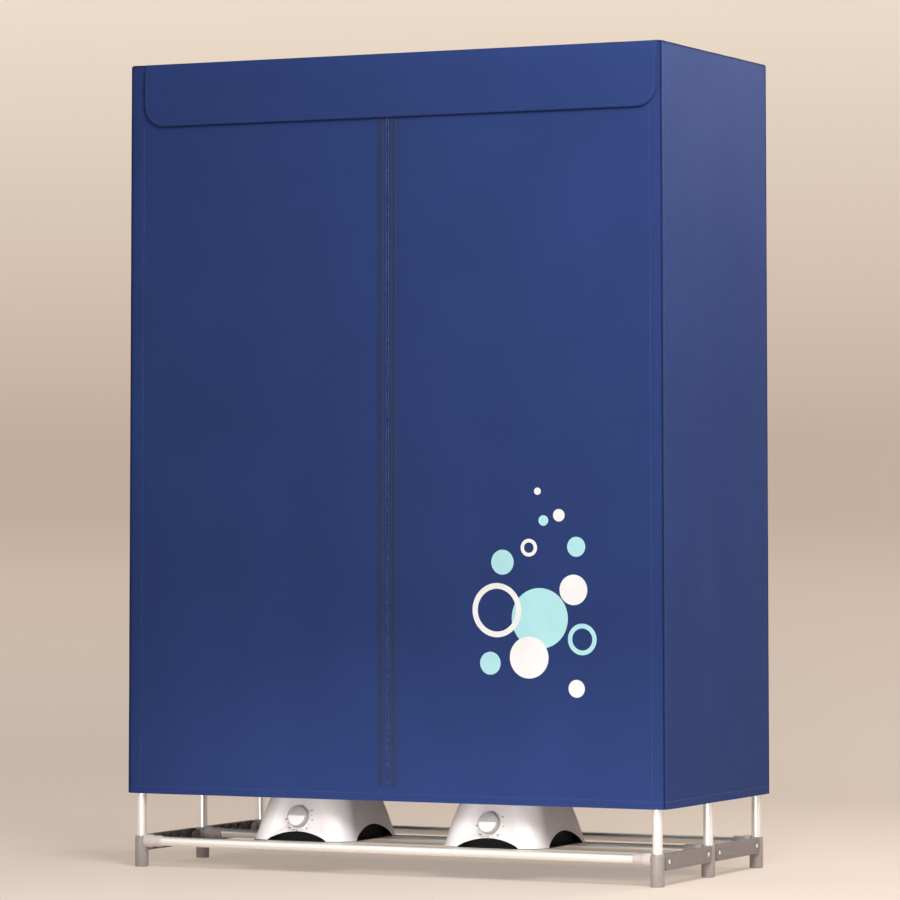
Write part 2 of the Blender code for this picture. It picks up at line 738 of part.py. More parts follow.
def skirt_inset(side, along, rise, height):
    """How far the skirt has come in at a rise over the edge; the dial's round pad cuts through the flare."""
    spot = along * (HEATER_HALF_WIDTH - HEATER_CORNER)
    from_dial = hypot(spot - TIMER_SHIFT, height - TIMER_HEIGHT)
    on_pad = side == 0 and rise > 0 and from_dial < DIAL_PAD_RADIUS
    passed = 1 if on_pad else min(1, rise / skirt_band(side, along))
    return SKIRT_REACH * skirt_fade(side, along) * passed


def housing_mesh():
    """Loft from the arched edge, over the skirt's crease, up the leaning walls to the round outlet."""
    shoulder_low = HEATER_HEIGHT - HEATER_SHOULDER
    bm = bmesh.new()
    strips = []
    for side, along, turn in housing_columns():
        arch = FRONT_ARCH if side % 2 == 0 else SIDE_ARCH
        foot = LIP_RISE + (arch * max(0, cos(along * pi / 2)) ** ARCH_FULLNESS if turn == 0 else 0)
        crease = foot + skirt_band(side, along)
        strip = []
        wall = [crease + (shoulder_low - crease) * row / HEATER_SIDE_ROWS
                for row in range(HEATER_SIDE_ROWS + 1)]
        for height in (foot, foot + SKIRT_LOW, *wall):
            lip = LIP_REACH * exp((foot - height) / LIP_FADE)
            skirt = skirt_inset(side, along, height - foot, height)
            strip.append((*housing_point(side, along, turn, inset_at(height, skirt) - lip), height))
        edge_inset = inset_at(shoulder_low, skirt_inset(side, along, shoulder_low - foot, shoulder_low))
        for step in range(1, HEATER_SHOULDER_STEPS + 1):
            swing = step / HEATER_SHOULDER_STEPS * pi / 2
            inset = edge_inset + HEATER_SHOULDER * (1 - cos(swing))
            height = shoulder_low + HEATER_SHOULDER * sin(swing)
            strip.append((*housing_point(side, along, turn, inset), height))
        rim = Vector(strip[-1][:2]).normalized() * (OUTLET_RADIUS + HEATER_WALL)
        strip.append((*rim, HEATER_HEIGHT))
        edge = rim.normalized() * OUTLET_RADIUS
        strip.append((*edge, HEATER_HEIGHT))
        strips.append([bm.verts.new(point) for point in strip])
    for strip, following in zip(strips, strips[1:] + strips[:1]):
        for i in range(len(strip) - 1):
            bm.faces.new((strip[i], following[i], following[i + 1], strip[i + 1]))
    mesh = to_mesh("housing", bm)
    smooth(mesh)
    return mesh


def timer_place():
    """Middle of the knob on the front wall's outer face, and the turn that lays +Z along the knob's axis."""
    depth = HEATER_HALF_DEPTH - inset_at(TIMER_HEIGHT)
    return (TIMER_SHIFT, -depth, TIMER_HEIGHT), (pi / 2 - lean_angle(TIMER_HEIGHT), 0, 0)


def gland_place():
    depth = HEATER_HALF_DEPTH - inset_at(GLAND_HEIGHT)
    return (0, depth, GLAND_HEIGHT), (lean_angle(GLAND_HEIGHT) - pi / 2, 0, 0)


def matrix_of(spot):
    location, rotation = spot
    return Matrix.Translation(location) @ Matrix.Rotation(rotation[0], 4, "X")


def build_housing(name, unit):
    piece = place(name, housing_mesh(), WHITE_PLASTIC, parent=unit)
    wall = piece.modifiers.new("wall", "SOLIDIFY")
    wall.thickness = HEATER_WALL
    wall.offset = -1
    at_timer = matrix_of(timer_place())
    bezel = cylinder("bezel", BEZEL_RADIUS, -BEZEL_ROOT, BEZEL_RISE, BEZEL_SIDES)
    add(piece, shifted(bezel, at_timer))
    hole = cylinder("shaft_hole", TIMER_SHAFT_RADIUS + BEZEL_RISE, -BEZEL_ROOT - CUT_OVERRUN,
                    BEZEL_RISE + CUT_OVERRUN, GLAND_SIDES)
    cut(piece, shifted(hole, at_timer))
    neck = cylinder("gland_hole", GLAND_NECK_RADIUS + GLAND_CLEARANCE, -GLAND_NECK_LENGTH, GLAND_FLANGE,
                    GLAND_SIDES)
    cut(piece, shifted(neck, matrix_of(gland_place())))


def build_base_plate(name, unit):
    outline = rounded_rectangle(HEATER_HALF_WIDTH - PLATE_INSET, HEATER_HALF_DEPTH - PLATE_INSET,
                                HEATER_CORNER - PLATE_INSET, PLATE_CORNER_STEPS)
    plate = shifted(flat("plate", outline, PLATE_THICKNESS), Matrix.Translation((0, 0, PLATE_THICKNESS / 2)))
    piece = place(name, plate, BLACK_PLASTIC, parent=unit)
    add(piece, cylinder("motor_seat", MOTOR_SEAT_RADIUS, PLATE_THICKNESS / 2, MOTOR_SEAT_HEIGHT, DUCT_SIDES,
                        MOTOR_RADIUS))


def shaft_length():
    return HUB_LIFT + HUB_HEIGHT - HUB_CEILING - SEAT_GAP


def motor_bottom():
    return MOTOR_SEAT_HEIGHT + SEAT_GAP


def build_motor(name, unit):
    top = MOTOR_HEIGHT
    collar = top + MOTOR_COLLAR_HEIGHT
    turned(name, [
        (0, collar + shaft_length()),
        (SHAFT_RADIUS, collar + shaft_length()),
        (SHAFT_RADIUS, collar),
        (MOTOR_COLLAR_RADIUS, collar),
        (MOTOR_COLLAR_RADIUS, top),
        (MOTOR_RADIUS - MOTOR_CHAMFER, top),
        (MOTOR_RADIUS, top - MOTOR_CHAMFER),
        (MOTOR_RADIUS, 0),
        (0, 0)], ROTOR_SIDES, material=MOTOR_STEEL, parent=unit, location=(0, 0, motor_bottom()))


def impeller_bottom():
    return motor_bottom() + MOTOR_HEIGHT + MOTOR_COLLAR_HEIGHT + HUB_LIFT


def blade_meshes():
    """Thin curved sheets from inside the hub to the tip, in a ring."""
    tip = DUCT_RADIUS - DUCT_WALL - BLADE_TIP_GAP
    root = HUB_RADIUS - BLADE_ROOT_SINK
    bm = bmesh.new()
    for blade in range(BLADE_COUNT):
        grid = bmesh.ops.create_grid(
            bm, x_segments=BLADE_SPAN_STEPS, y_segments=BLADE_CHORD_STEPS, size=HALF_SHARE)
        for vert in grid["verts"]:
            span = vert.co.x + HALF_SHARE
            chord = vert.co.y
            radius = root + (tip - root) * span
            turn = blade / BLADE_COUNT * 2 * pi + chord * BLADE_SPREAD + BLADE_SWEEP * span ** 2
            height = HUB_HEIGHT / 2 + chord * BLADE_RISE + BLADE_CAMBER * cos(pi * chord)
            vert.co = (radius * cos(turn), radius * sin(turn), height)
    return to_mesh("blades", bm)


def build_impeller(name, unit):
    bore = SHAFT_RADIUS + SHAFT_CLEARANCE
    ceiling = HUB_HEIGHT - HUB_CEILING
    piece = turned(name, [
        (0, HUB_HEIGHT),
        (HUB_RADIUS - HUB_ROUND, HUB_HEIGHT),
        (HUB_RADIUS, HUB_HEIGHT - HUB_ROUND),
        (HUB_RADIUS, 0),
        (bore, 0),
        (bore, ceiling),
        (0, ceiling)], ROTOR_SIDES, material=BLACK_PLASTIC, parent=unit, location=(0, 0, impeller_bottom()))
    blades = add(piece, blade_meshes())
    wall = blades.modifiers.new("wall", "SOLIDIFY")
    wall.thickness = BLADE_THICKNESS
    wall.offset = 0


def grille_slots():
    """Ring sectors between the hub, the middle ring and the duct."""
    inner, outer = GRILLE_HUB, DUCT_RADIUS - DUCT_WALL
    pitch = (outer - inner + GRILLE_RING) / GRILLE_ROWS
    for row in range(GRILLE_ROWS):
        low = inner + row * pitch
        high = low + pitch - GRILLE_RING
        spokes = GRILLE_SPOKES // 2 * (row + 1)
        for i in range(spokes):
            middle = (i + HALF_SHARE) / spokes * 2 * pi
            half = pi / spokes
            inner_turn = half - GRILLE_BAR / 2 / low
            outer_turn = half - GRILLE_BAR / 2 / high
            yield (arc((0, 0), high, middle - outer_turn, middle + outer_turn, GRILLE_SLOT_STEPS)
                   + arc((0, 0), low, middle + inner_turn, middle - inner_turn, GRILLE_SLOT_STEPS))


def build_outlet(name, unit):
    """Grille and fan duct in one moulding, hung by its flange on the housing's top."""
    inner = DUCT_RADIUS - DUCT_WALL
    seat = HEATER_HEIGHT + SEAT_GAP
    top = seat + GRILLE_THICKNESS
    ledge_top = LEDGE_HEIGHT
    ledge_low = LEDGE_HEIGHT - LEDGE_THICKNESS
    piece = turned(name, [
        (inner, top),
        (OUTLET_RADIUS + GRILLE_FLANGE, top),
        (OUTLET_RADIUS + GRILLE_FLANGE, seat),
        (DUCT_RADIUS, seat),
        (DUCT_RADIUS, DUCT_BOTTOM),
        (inner, DUCT_BOTTOM),
        (inner, ledge_low),
        (inner - LEDGE_REACH, ledge_low),
        (inner - LEDGE_REACH, ledge_top),
        (inner, ledge_top)], DUCT_SIDES, closed=True, material=WHITE_PLASTIC, parent=unit)
    rim = arc((0, 0), inner + DUCT_WALL / 2, 0, 2 * pi, DUCT_SIDES)[:-1]
    plate = flat("grille", rim, GRILLE_THICKNESS - WELD, tuple(grille_slots()))
    add(piece, shifted(plate, Matrix.Translation((0, 0, top - GRILLE_THICKNESS / 2 - SEAT_GAP))))


def build_element(name, unit):
    """Heating element: a finned block whose end tabs lie on the duct's ledge."""
    half_x, half_y = ELEMENT_WIDTH / 2, ELEMENT_DEPTH / 2
    duct = DUCT_RADIUS - DUCT_WALL
    tab = sqrt(duct ** 2 - ELEMENT_TAB ** 2) - 2 * CUT_OVERRUN
    outline = []
    for sign in (1, -1):
        outline += [(sign * half_x, -sign * half_y), (sign * half_x, -sign * ELEMENT_TAB),
                    (sign * tab, -sign * ELEMENT_TAB), (sign * tab, sign * ELEMENT_TAB),
                    (sign * half_x, sign * ELEMENT_TAB), (sign * half_x, sign * half_y)]
    pitch = (ELEMENT_WIDTH - 2 * ELEMENT_BORDER + ELEMENT_FIN) / ELEMENT_SLOTS
    depth = (ELEMENT_DEPTH - (ELEMENT_ROWS + 1) * ELEMENT_BORDER) / ELEMENT_ROWS
    slots = []
    for row in range(ELEMENT_ROWS):
        low = ELEMENT_BORDER - half_y + row * (depth + ELEMENT_BORDER)
        for i in range(ELEMENT_SLOTS):
            left = ELEMENT_BORDER - half_x + i * pitch
            right = left + pitch - ELEMENT_FIN
            slots.append([(left, low), (right, low), (right, low + depth), (left, low + depth)])
    middle = LEDGE_HEIGHT + SEAT_GAP + ELEMENT_THICKNESS / 2
    place(name, flat("element", outline, ELEMENT_THICKNESS, tuple(slots)), ALUMINIUM, parent=unit,
          location=(0, 0, middle))


def build_timer(name, unit):
    location, rotation = timer_place()
    half = TIMER_SIZE / 2
    front = -BEZEL_ROOT - SEAT_GAP
    body = box(name, (-half, -half, front - TIMER_DEPTH), (half, half, front))
    piece = place(name, body, BLACK_PLASTIC, parent=unit, location=location, rotation=rotation)
    add(piece, cylinder("shaft", TIMER_SHAFT_RADIUS, front - TIMER_DEPTH / 2, TIMER_SHAFT_REACH,
                        ROTOR_SIDES))


def build_knob(name, unit):
    """Knob with a half-round finger recess above its middle; its origin is on the axis at the wall."""
    location, rotation = timer_place()
    low = BEZEL_RISE + SEAT_GAP
    high = low + KNOB_HEIGHT
    bore = TIMER_SHAFT_RADIUS + SHAFT_CLEARANCE
    piece = turned(name, [
        (0, high),
        (KNOB_RADIUS - KNOB_CHAMFER, high),
        (KNOB_RADIUS, high - KNOB_CHAMFER),
        (KNOB_RADIUS + KNOB_CHAMFER / 2, low),
        (bore, low),
        (bore, low + KNOB_BORE_DEPTH - KNOB_CHAMFER),
        (0, low + KNOB_BORE_DEPTH - KNOB_CHAMFER)], KNOB_SIDES, material=KNOB_PLASTIC, parent=unit,
        location=location, rotation=rotation)
    half_round = arc((0, KNOB_RECESS_STEP), KNOB_RADIUS - KNOB_RIM - KNOB_CHAMFER, 0, pi, KNOB_SIDES // 2)
    recess = flat("finger_recess", half_round, KNOB_RECESS + CUT_OVERRUN)
    cut(piece, shifted(recess, Matrix.Translation((0, 0, high + (CUT_OVERRUN - KNOB_RECESS) / 2))))


def build_gland(name, unit):
    location, rotation = gland_place()
    seat = SEAT_GAP
    turned(name, [
        (GLAND_BORE_RADIUS, seat + GLAND_FLANGE + GLAND_TAIL),
        (GLAND_TAIL_RADIUS, seat + GLAND_FLANGE + GLAND_TAIL),
        (GLAND_NECK_RADIUS, seat + GLAND_FLANGE),
        (GLAND_FLANGE_RADIUS, seat + GLAND_FLANGE),
        (GLAND_FLANGE_RADIUS, seat),
        (GLAND_NECK_RADIUS, seat),
        (GLAND_NECK_RADIUS, seat - GLAND_NECK_LENGTH),
        (GLAND_BORE_RADIUS, seat - GLAND_NECK_LENGTH)], GLAND_SIDES, closed=True, material=BLACK_PLASTIC,
        parent=unit, location=location, rotation=rotation)


def build_heater(side, sign, root):
    """One fan heater, standing on the front and mid bottom rails."""
    middle = HEATER_SHIFT + sign * HEATER_SPACING / 2
    unit = empty(f"heater_{side}", (middle, HEATER_Y, RAIL_TOP + SEAT_GAP), root)
    build_housing(f"heater_{side}_housing", unit)
    build_base_plate(f"heater_{side}_base_plate", unit)
    build_outlet(f"heater_{side}_outlet", unit)
    build_element(f"heater_{side}_element", unit)
    build_motor(f"heater_{side}_motor", unit)
    build_impeller(f"heater_{side}_impeller", unit)
    build_timer(f"heater_{side}_timer", unit)
    build_knob(f"heater_{side}_knob", unit)
    build_gland(f"heater_{side}_gland", unit)


def main():
    root = empty("dryer", (0, MIDDLE_SHIFT, 0))
    build_frame(root)
    build_cover(root)
    build_doors(root)
    build_flap(root)
    build_slider(root)
    for side, sign in SIDES.items():
        build_heater(side, sign, root)
    bpy.context.view_layer.update()


main()
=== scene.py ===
"""Portable clothes dryer: cloth cover, tube frame and two fan heaters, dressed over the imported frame.

Metres, +Z up, front towards -Y. Each operator makes one piece or one group of like pieces.
"""
import json
from math import cos, exp, pi, radians, sin, sqrt

import bmesh
import bpy
from bpy.props import FloatProperty, FloatVectorProperty, IntProperty, PointerProperty
from bpy.types import Operator, Panel, PropertyGroup
from mathutils import Matrix, Vector, noise
from mathutils.bvhtree import BVHTree


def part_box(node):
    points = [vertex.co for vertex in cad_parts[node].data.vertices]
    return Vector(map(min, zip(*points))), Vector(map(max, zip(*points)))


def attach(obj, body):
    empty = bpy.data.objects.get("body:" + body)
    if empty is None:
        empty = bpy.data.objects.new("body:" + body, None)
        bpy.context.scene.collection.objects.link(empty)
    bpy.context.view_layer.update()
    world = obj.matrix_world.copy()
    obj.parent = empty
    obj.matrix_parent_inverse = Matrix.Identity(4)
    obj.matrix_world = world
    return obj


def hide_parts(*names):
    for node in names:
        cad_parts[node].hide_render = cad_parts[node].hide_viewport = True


bl_info = {
    "name": "Portable clothes dryer",
    "version": (1, 0, 0),
    "blender": (4, 5, 0),
    "location": "3D View > Sidebar > Dryer",
    "description": "Builds the cover, frame and fan heaters of a portable clothes dryer",
    "category": "Object",
}

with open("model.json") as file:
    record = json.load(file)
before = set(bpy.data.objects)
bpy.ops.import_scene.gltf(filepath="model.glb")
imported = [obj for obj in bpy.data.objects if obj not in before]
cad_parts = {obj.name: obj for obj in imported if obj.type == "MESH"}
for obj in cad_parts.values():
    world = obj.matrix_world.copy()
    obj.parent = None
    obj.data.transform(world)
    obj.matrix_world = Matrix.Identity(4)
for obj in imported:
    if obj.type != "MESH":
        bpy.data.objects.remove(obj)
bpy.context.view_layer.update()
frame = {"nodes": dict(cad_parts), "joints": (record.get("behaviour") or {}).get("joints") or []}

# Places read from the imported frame
TOP_LOW, TOP_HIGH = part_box("cover_top")
DOOR_LOW, DOOR_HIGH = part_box("door_left")
FLAP_LOW, FLAP_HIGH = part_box("cover_flap")
HALF = TOP_HIGH.x
FRONT = TOP_LOW.y
BACK = TOP_HIGH.y
CLOTH_TOP = TOP_HIGH.z
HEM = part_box("cover_left")[0].z
DOOR_TOP = DOOR_HIGH.z
HEADER_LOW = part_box("cover_header")[0].z
SIDE_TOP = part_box("cover_left")[1].z
ZIP = (DOOR_HIGH.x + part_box("door_right")[0].x) / 2
DOOR_SEAM = -DOOR_LOW.x
SLIDER_LOW, SLIDER_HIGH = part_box("zip_slider")
FLAP_SEAM = FLAP_HIGH.y

# Sewn lines of the cover
ZIP_BOTTOM = 0.176
ZIP_TOP = 1.536
BAND_NEAR = 0.0073
BAND_FAR = 0.0218
HEM_LINE = HEM + 0.015
SIDE_LINES = (-0.548, 0.553)
FLAP_CORNER = 0.042
FLAP_ROLL = 0.032
FLAP_STAND = 0.0062
FLAP_STITCH = 0.0045
EDGE_STRIP = 0.022

# Heater housing, as in its solid
HOUSING_LOW, HOUSING_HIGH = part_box("heater_left_housing")
LIP_REACH = 0.0015
LIP_RISE = 0.0012
LIP_FADE = 0.005
UNIT_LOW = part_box("heater_left_base_plate")[0].z
HALF_WIDTH = (HOUSING_HIGH.x - HOUSING_LOW.x) / 2
HALF_DEPTH = (HOUSING_HIGH.y - HOUSING_LOW.y) / 2
HOUSING_TOP = HOUSING_HIGH.z - UNIT_LOW
CORNER = 0.045
LEAN_SHARE = 0.19
CURVE_RADIUS = 0.50
SHOULDER = 0.012
SKIRT_END = 0.008
SKIRT_BOW = 0.006
SKIRT_REACH = 0.006
SKIRT_FADE_SHARE = 4
FRONT_ARCH = 0.0185
SIDE_ARCH = 0.0285
ARCH_FULLNESS = 0.65
TIMER_HEIGHT = 0.0464
TIMER_SHIFT = -0.0023
DIAL_PAD_RADIUS = 0.033
OUTLET_RADIUS = 0.062
DUCT_RADIUS = 0.0615
DUCT_LEDGE = 0.070
GRILLE_HUB = 0.014
BLADES = 7
BLADE_ROOT = 0.0175
BLADE_TIP = 0.0573
STROKE_RADIUS = 0.0262
MINUTES_RADIUS = 0.0288
BEZEL_RADIUS = 0.0235
KNOB_RADIUS = 0.0212

# Frame mouldings, as in their solids
CONNECTOR_RADIUS = 0.0135
CONNECTOR_HEIGHT = 0.062
RAIL_HEIGHT = 0.0515
SLEEVE_RADIUS = 0.013
SLEEVE_STEP = 0.0265
SLEEVE_REACH = 0.0475
COLLAR_RADIUS = 0.01125
PIVOT_REACH = 0.028
PIVOT_HEIGHT = 0.046
EAR_HALF = 0.011
ARM_NEAR = 0.0055
ARM_THICKNESS = 0.007
ARM_CLEARANCE = 0.0127

# Thin layers, and the tray's wall inside the housing
FILM_THICKNESS = 0.00012
MARK_THICKNESS = 0.00015
SHELL_WALL = 0.0025
BLADE_THICKNESS = 0.0015
PLATE_THICKNESS = 0.003
TRAY_INSET = 0.0180
TRAY_THICKNESS = 0.0015
TRAY_RIB = 0.0006
TRAY_FRONT_TOP = 0.0220
TRAY_SIDE_RISE = 0.0085

# Sewing: how far seams lie in from a panel's edge, where their runs end, and the thread's own sizes
SEAM_IN = 0.012
TOP_SEAM_IN = 0.008
RUN_END = 0.003
THREAD_LIFT = 0.0001
STITCH_SHARE = 0.74
COVER_PITCH = 0.0052
TALL_STEP = 0.009

# Cloth: gaps beside the zip, dents and puckers at stitches, and the hem's stand and flare
ZIP_GAP = 0.0013
DOOR_GAP = 0.0011
DENT_REACH = 0.0018
PUCKER_REACH = 0.016
PUCKER_HEIGHT = 0.0006
HEM_STAND = 0.0004
HEM_FLARE = 0.0034
FLARE_FALL = 0.0062

# Camera fitted to the photograph, and the floor's curve into the backdrop
CAMERA_PLACE = (3.8357, -7.9289, 0.7158)
CAMERA_TURN = (radians(90.753), 0, radians(25.785))
FLOOR_EDGE = 2.2
FLOOR_CURVE = 0.9
FLOOR_HALF_WIDTH = 9.0
LOW_LAMP_HEIGHT = 0.12
LOW_LAMP_SPREAD = radians(32)

SIDES = ("left", "right")

# Turns that set a flat outline upright, facing a side or the front
SIDEWAYS = Matrix(((0, 0, 1, 0), (1, 0, 0, 0), (0, 1, 0, 0), (0, 0, 0, 1)))
UPRIGHT = Matrix(((1, 0, 0, 0), (0, 0, -1, 0), (0, 1, 0, 0), (0, 0, 0, 1)))


def tint(name, description, *rgb):
    """Property that holds a colour."""
    return FloatVectorProperty(name=name, description=description, subtype="COLOR", size=4, min=0, max=1,
                               default=(*rgb, 1))


def metres(name, description, default):
    """Property that holds a length."""
    return FloatProperty(name=name, description=description, unit="LENGTH", default=default)


def watts(name, description, default):
    """Property that holds a lamp's power."""
    return FloatProperty(name=name, description=description, unit="POWER", default=default)


def tally(name, description, default, low, high):
    """Property that holds a number of like parts."""
    return IntProperty(name=name, description=description, default=default, min=low, max=high)


class DryerCloth(PropertyGroup):
    """Cloth of the cover."""
    colour: tint("Cloth colour", "Base colour of the woven cover", 0.0270, 0.0500, 0.1720)
    band_colour: tint("Band colour", "Strips sewn on both sides of the zip", 0.027, 0.043, 0.115)
    thread_colour: tint("Thread colour", "Sewing thread", 0.075, 0.105, 0.275)
    # Piping colour is painted shade: darker than the cloth, for the shade along the cover's corners and top
    # edges
    piping_shade_colour: tint("Piping colour", "Darker tape rolled into the corner seams", 0.013, 0.022, 0.075)
    white_ink: tint("White ink", "White of the printed bubbles", 0.90, 0.91, 0.92)
    aqua_ink: tint("Aqua ink", "Pale aqua of the printed bubbles", 0.44, 0.80, 0.84)
    thickness: metres("Cloth thickness", "Thickness of one layer", 0.0009)
    weave: metres("Weave pitch", "Distance between two threads", 0.0007)
    fold_depth: metres("Fold depth", "How far the hanging folds swell out", 0.0035)
    ripple: metres("Ripple", "Height of the soft unevenness between folds", 0.0016)
    stitch_pitch: metres("Stitch pitch", "Distance between two stitches", 0.0055)
    grid_step: metres("Grid step", "Largest face of the cloth's mesh", 0.009)


class DryerHeater(PropertyGroup):
    """Fan heaters."""
    shell_colour: tint("Shell colour", "Gloss moulding of the housings", 0.86, 0.815, 0.815)
    dark_colour: tint("Dark colour", "Mouldings inside and under the heater", 0.018, 0.018, 0.020)
    # Knob colour: grey painted shade on the knob's side and in its shallow recess
    knob_shade_colour: tint("Dial colour", "Grey of the knob and its recess", 0.40, 0.375, 0.38)
    grille_rings: tally("Grille rings", "Rings of the outlet grille", 5, 2, 9)
    grille_bars: tally("Grille bars", "Spokes of the outlet grille", 24, 8, 48)


class DryerFrame(PropertyGroup):
    """Tubes and mouldings of the frame."""
    # Steel colour: the steel's own pale tint, and, as the tubes are only half metallic, a diffuse cream share
    # that is painted reflection of the pale floor
    steel_and_reflection_colour: tint("Steel colour", "Bright tubes", 0.95, 0.92, 0.87)
    moulding_colour: tint("Moulding colour", "Grey feet and corners", 0.325, 0.290, 0.272)
    # Arm colour is a darker copy of the grey moulding: painted shade on the arms' side faces
    arm_shade_colour: tint("Arm colour", "Grey side arms", 0.225, 0.195, 0.195)
    tube_sides: tally("Tube sides", "Sides of a round tube", 40, 12, 96)


class DryerStage(PropertyGroup):
    """Floor, backdrop, lamps and camera."""
    floor_colour: tint("Floor colour", "Pale floor", 0.88, 0.74, 0.63)
    # Backdrop colours are painted light and shade: darker beside the dryer as painted shade, paler above it
    # as painted light
    shaded_wall_colour: tint("Backdrop colour", "Backdrop beside the dryer", 0.60, 0.47, 0.38)
    lit_upper_colour: tint("Upper backdrop colour", "Backdrop above the dryer", 0.95, 0.81, 0.67)
    world_strength: FloatProperty(
        name="World light", description="Even light from all round", default=0.39, min=0)
    key_power: watts("Key light", "Soft lamp at the right", 76.0)
    fill_power: watts("Fill light", "Soft lamp at the left", 2.0)
    low_power: watts("Low light", "Long narrow lamp near the floor, before the heaters", 0.8)
    side_power: watts("Side light", "Small lamp over the right side", 5.0)
    rim_power: watts("Rim light", "Soft lamp behind the right side", 17.0)
    lens: FloatProperty(
        name="Lens", description="Focal length on a 36 mm sensor, in millimetres", default=176.54)


def feed(tree, socket, term):
    """Link an output to a socket, or set the socket's own value."""
    if isinstance(term, bpy.types.NodeSocket):
        tree.links.new(term, socket)
    else:
        socket.default_value = term


def maths(tree, operation, *terms, kind="ShaderNodeMath"):
    node = tree.nodes.new(kind)
    node.operation = operation
    for socket, term in zip(node.inputs, terms):
        feed(tree, socket, term)
    return node.outputs[0]


def mixed(tree, factor, first, second):
    """Mix of two colours by a factor."""
    node = tree.nodes.new("ShaderNodeMix")
    node.data_type = "RGBA"
    feed(tree, node.inputs[0], factor)
    feed(tree, node.inputs[6], first)
    feed(tree, node.inputs[7], second)
    return node.outputs[2]


def shaded(tree, colour, factor):
    """A colour made lighter or darker by a factor around one."""
    node = tree.nodes.new("ShaderNodeVectorMath")
    node.operation = "SCALE"
    feed(tree, node.inputs[0], colour)
    feed(tree, node.inputs["Scale"], factor)
    return node.outputs[0]


def times(tree, *terms):
    return maths(tree, "MULTIPLY", *terms)


def plus(tree, *terms):
    return maths(tree, "ADD", *terms)


def stretched(tree, vector, factors):
    return maths(tree, "MULTIPLY", vector, factors, kind="ShaderNodeVectorMath")


def axes(tree, vector):
    """X, Y and Z of a vector."""
    node = tree.nodes.new("ShaderNodeSeparateXYZ")
    feed(tree, node.inputs[0], vector)
    return node.outputs


def grains(tree, vector, scale, detail=2.0):
    node = tree.nodes.new("ShaderNodeTexNoise")
    feed(tree, node.inputs["Vector"], vector)
    feed(tree, node.inputs["Scale"], scale)
    node.inputs["Detail"].default_value = detail
    return node.outputs["Fac"]


def spread(tree, value, low, high, to_low=0.0, to_high=1.0):
    node = tree.nodes.new("ShaderNodeMapRange")
    for socket, term in zip(node.inputs, (value, low, high, to_low, to_high)):
        feed(tree, socket, term)
    return node.outputs[0]


FINISH_OUTPUTS = (("Color", "Color"), ("Roughness", "Float"), ("Height", "Float"))


def group_tree(kind, name, inputs, outputs):
    """Node group with named sockets: its tree, its input node's outputs and its output node's inputs."""
    tree = bpy.data.node_groups.new(name, kind)
    for label, value_kind, value in inputs:
        socket = tree.interface.new_socket(label, in_out="INPUT", socket_type=f"NodeSocket{value_kind}")
        if value is not None:
            socket.default_value = value
    for label, value_kind in outputs:
        tree.interface.new_socket(label, in_out="OUTPUT", socket_type=f"NodeSocket{value_kind}")
    return tree, tree.nodes.new("NodeGroupInput").outputs, tree.nodes.new("NodeGroupOutput").inputs


def joined(tree, terms, sockets):
    """Link each term to the socket in its place."""
    for term, socket in zip(terms, sockets):
        tree.links.new(term, socket)
    return tree


def woven_group():
    """Plain weave with uneven threads: colour, roughness and height."""
    tree, given, out = group_tree("ShaderNodeTree", "woven_cloth", [
        ("Weave", "Vector", None), ("Place", "Vector", None), ("Pitch", "Float", 0.0007),
        ("Colour", "Color", (0.02, 0.04, 0.2, 1)), ("Unevenness", "Float", 0.3)],
        FINISH_OUTPUTS)
    warp, weft = (maths(tree, "DIVIDE", axis, given["Pitch"]) for axis in axes(tree, given["Weave"])[:2])
    warp_round, weft_round = (maths(tree, "ABSOLUTE", maths(tree, "SINE", times(tree, thread, pi)))
                              for thread in (warp, weft))
    squares = plus(tree, maths(tree, "FLOOR", warp), maths(tree, "FLOOR", weft))
    over = maths(tree, "FLOORED_MODULO", squares, 2.0)
    difference = maths(tree, "SUBTRACT", warp_round, weft_round)
    height = plus(tree, weft_round, times(tree, difference, over))
    slubs = grains(tree, stretched(tree, given["Weave"], (260.0, 40.0, 1.0)), 1.0, 3.0)
    broad = grains(tree, given["Place"], 5.0, 3.0)
    # Raised threads lighter and the hollows between them darker: painted shade in the weave's hollows; the
    # slubs add the threads' own uneven tone
    tone = plus(tree, times(tree, height, 0.16), times(tree, slubs, 0.16))
    cloudy = times(tree, maths(tree, "SUBTRACT", broad, 0.5), given["Unevenness"])
    factor = plus(tree, plus(tree, tone, 0.84), cloudy)
    rough = spread(tree, slubs, 0.3, 0.7, 0.62, 0.50)
    uneven = plus(tree, height, times(tree, slubs, 0.8))
    return joined(tree, (shaded(tree, given["Colour"], factor), rough, uneven), out)


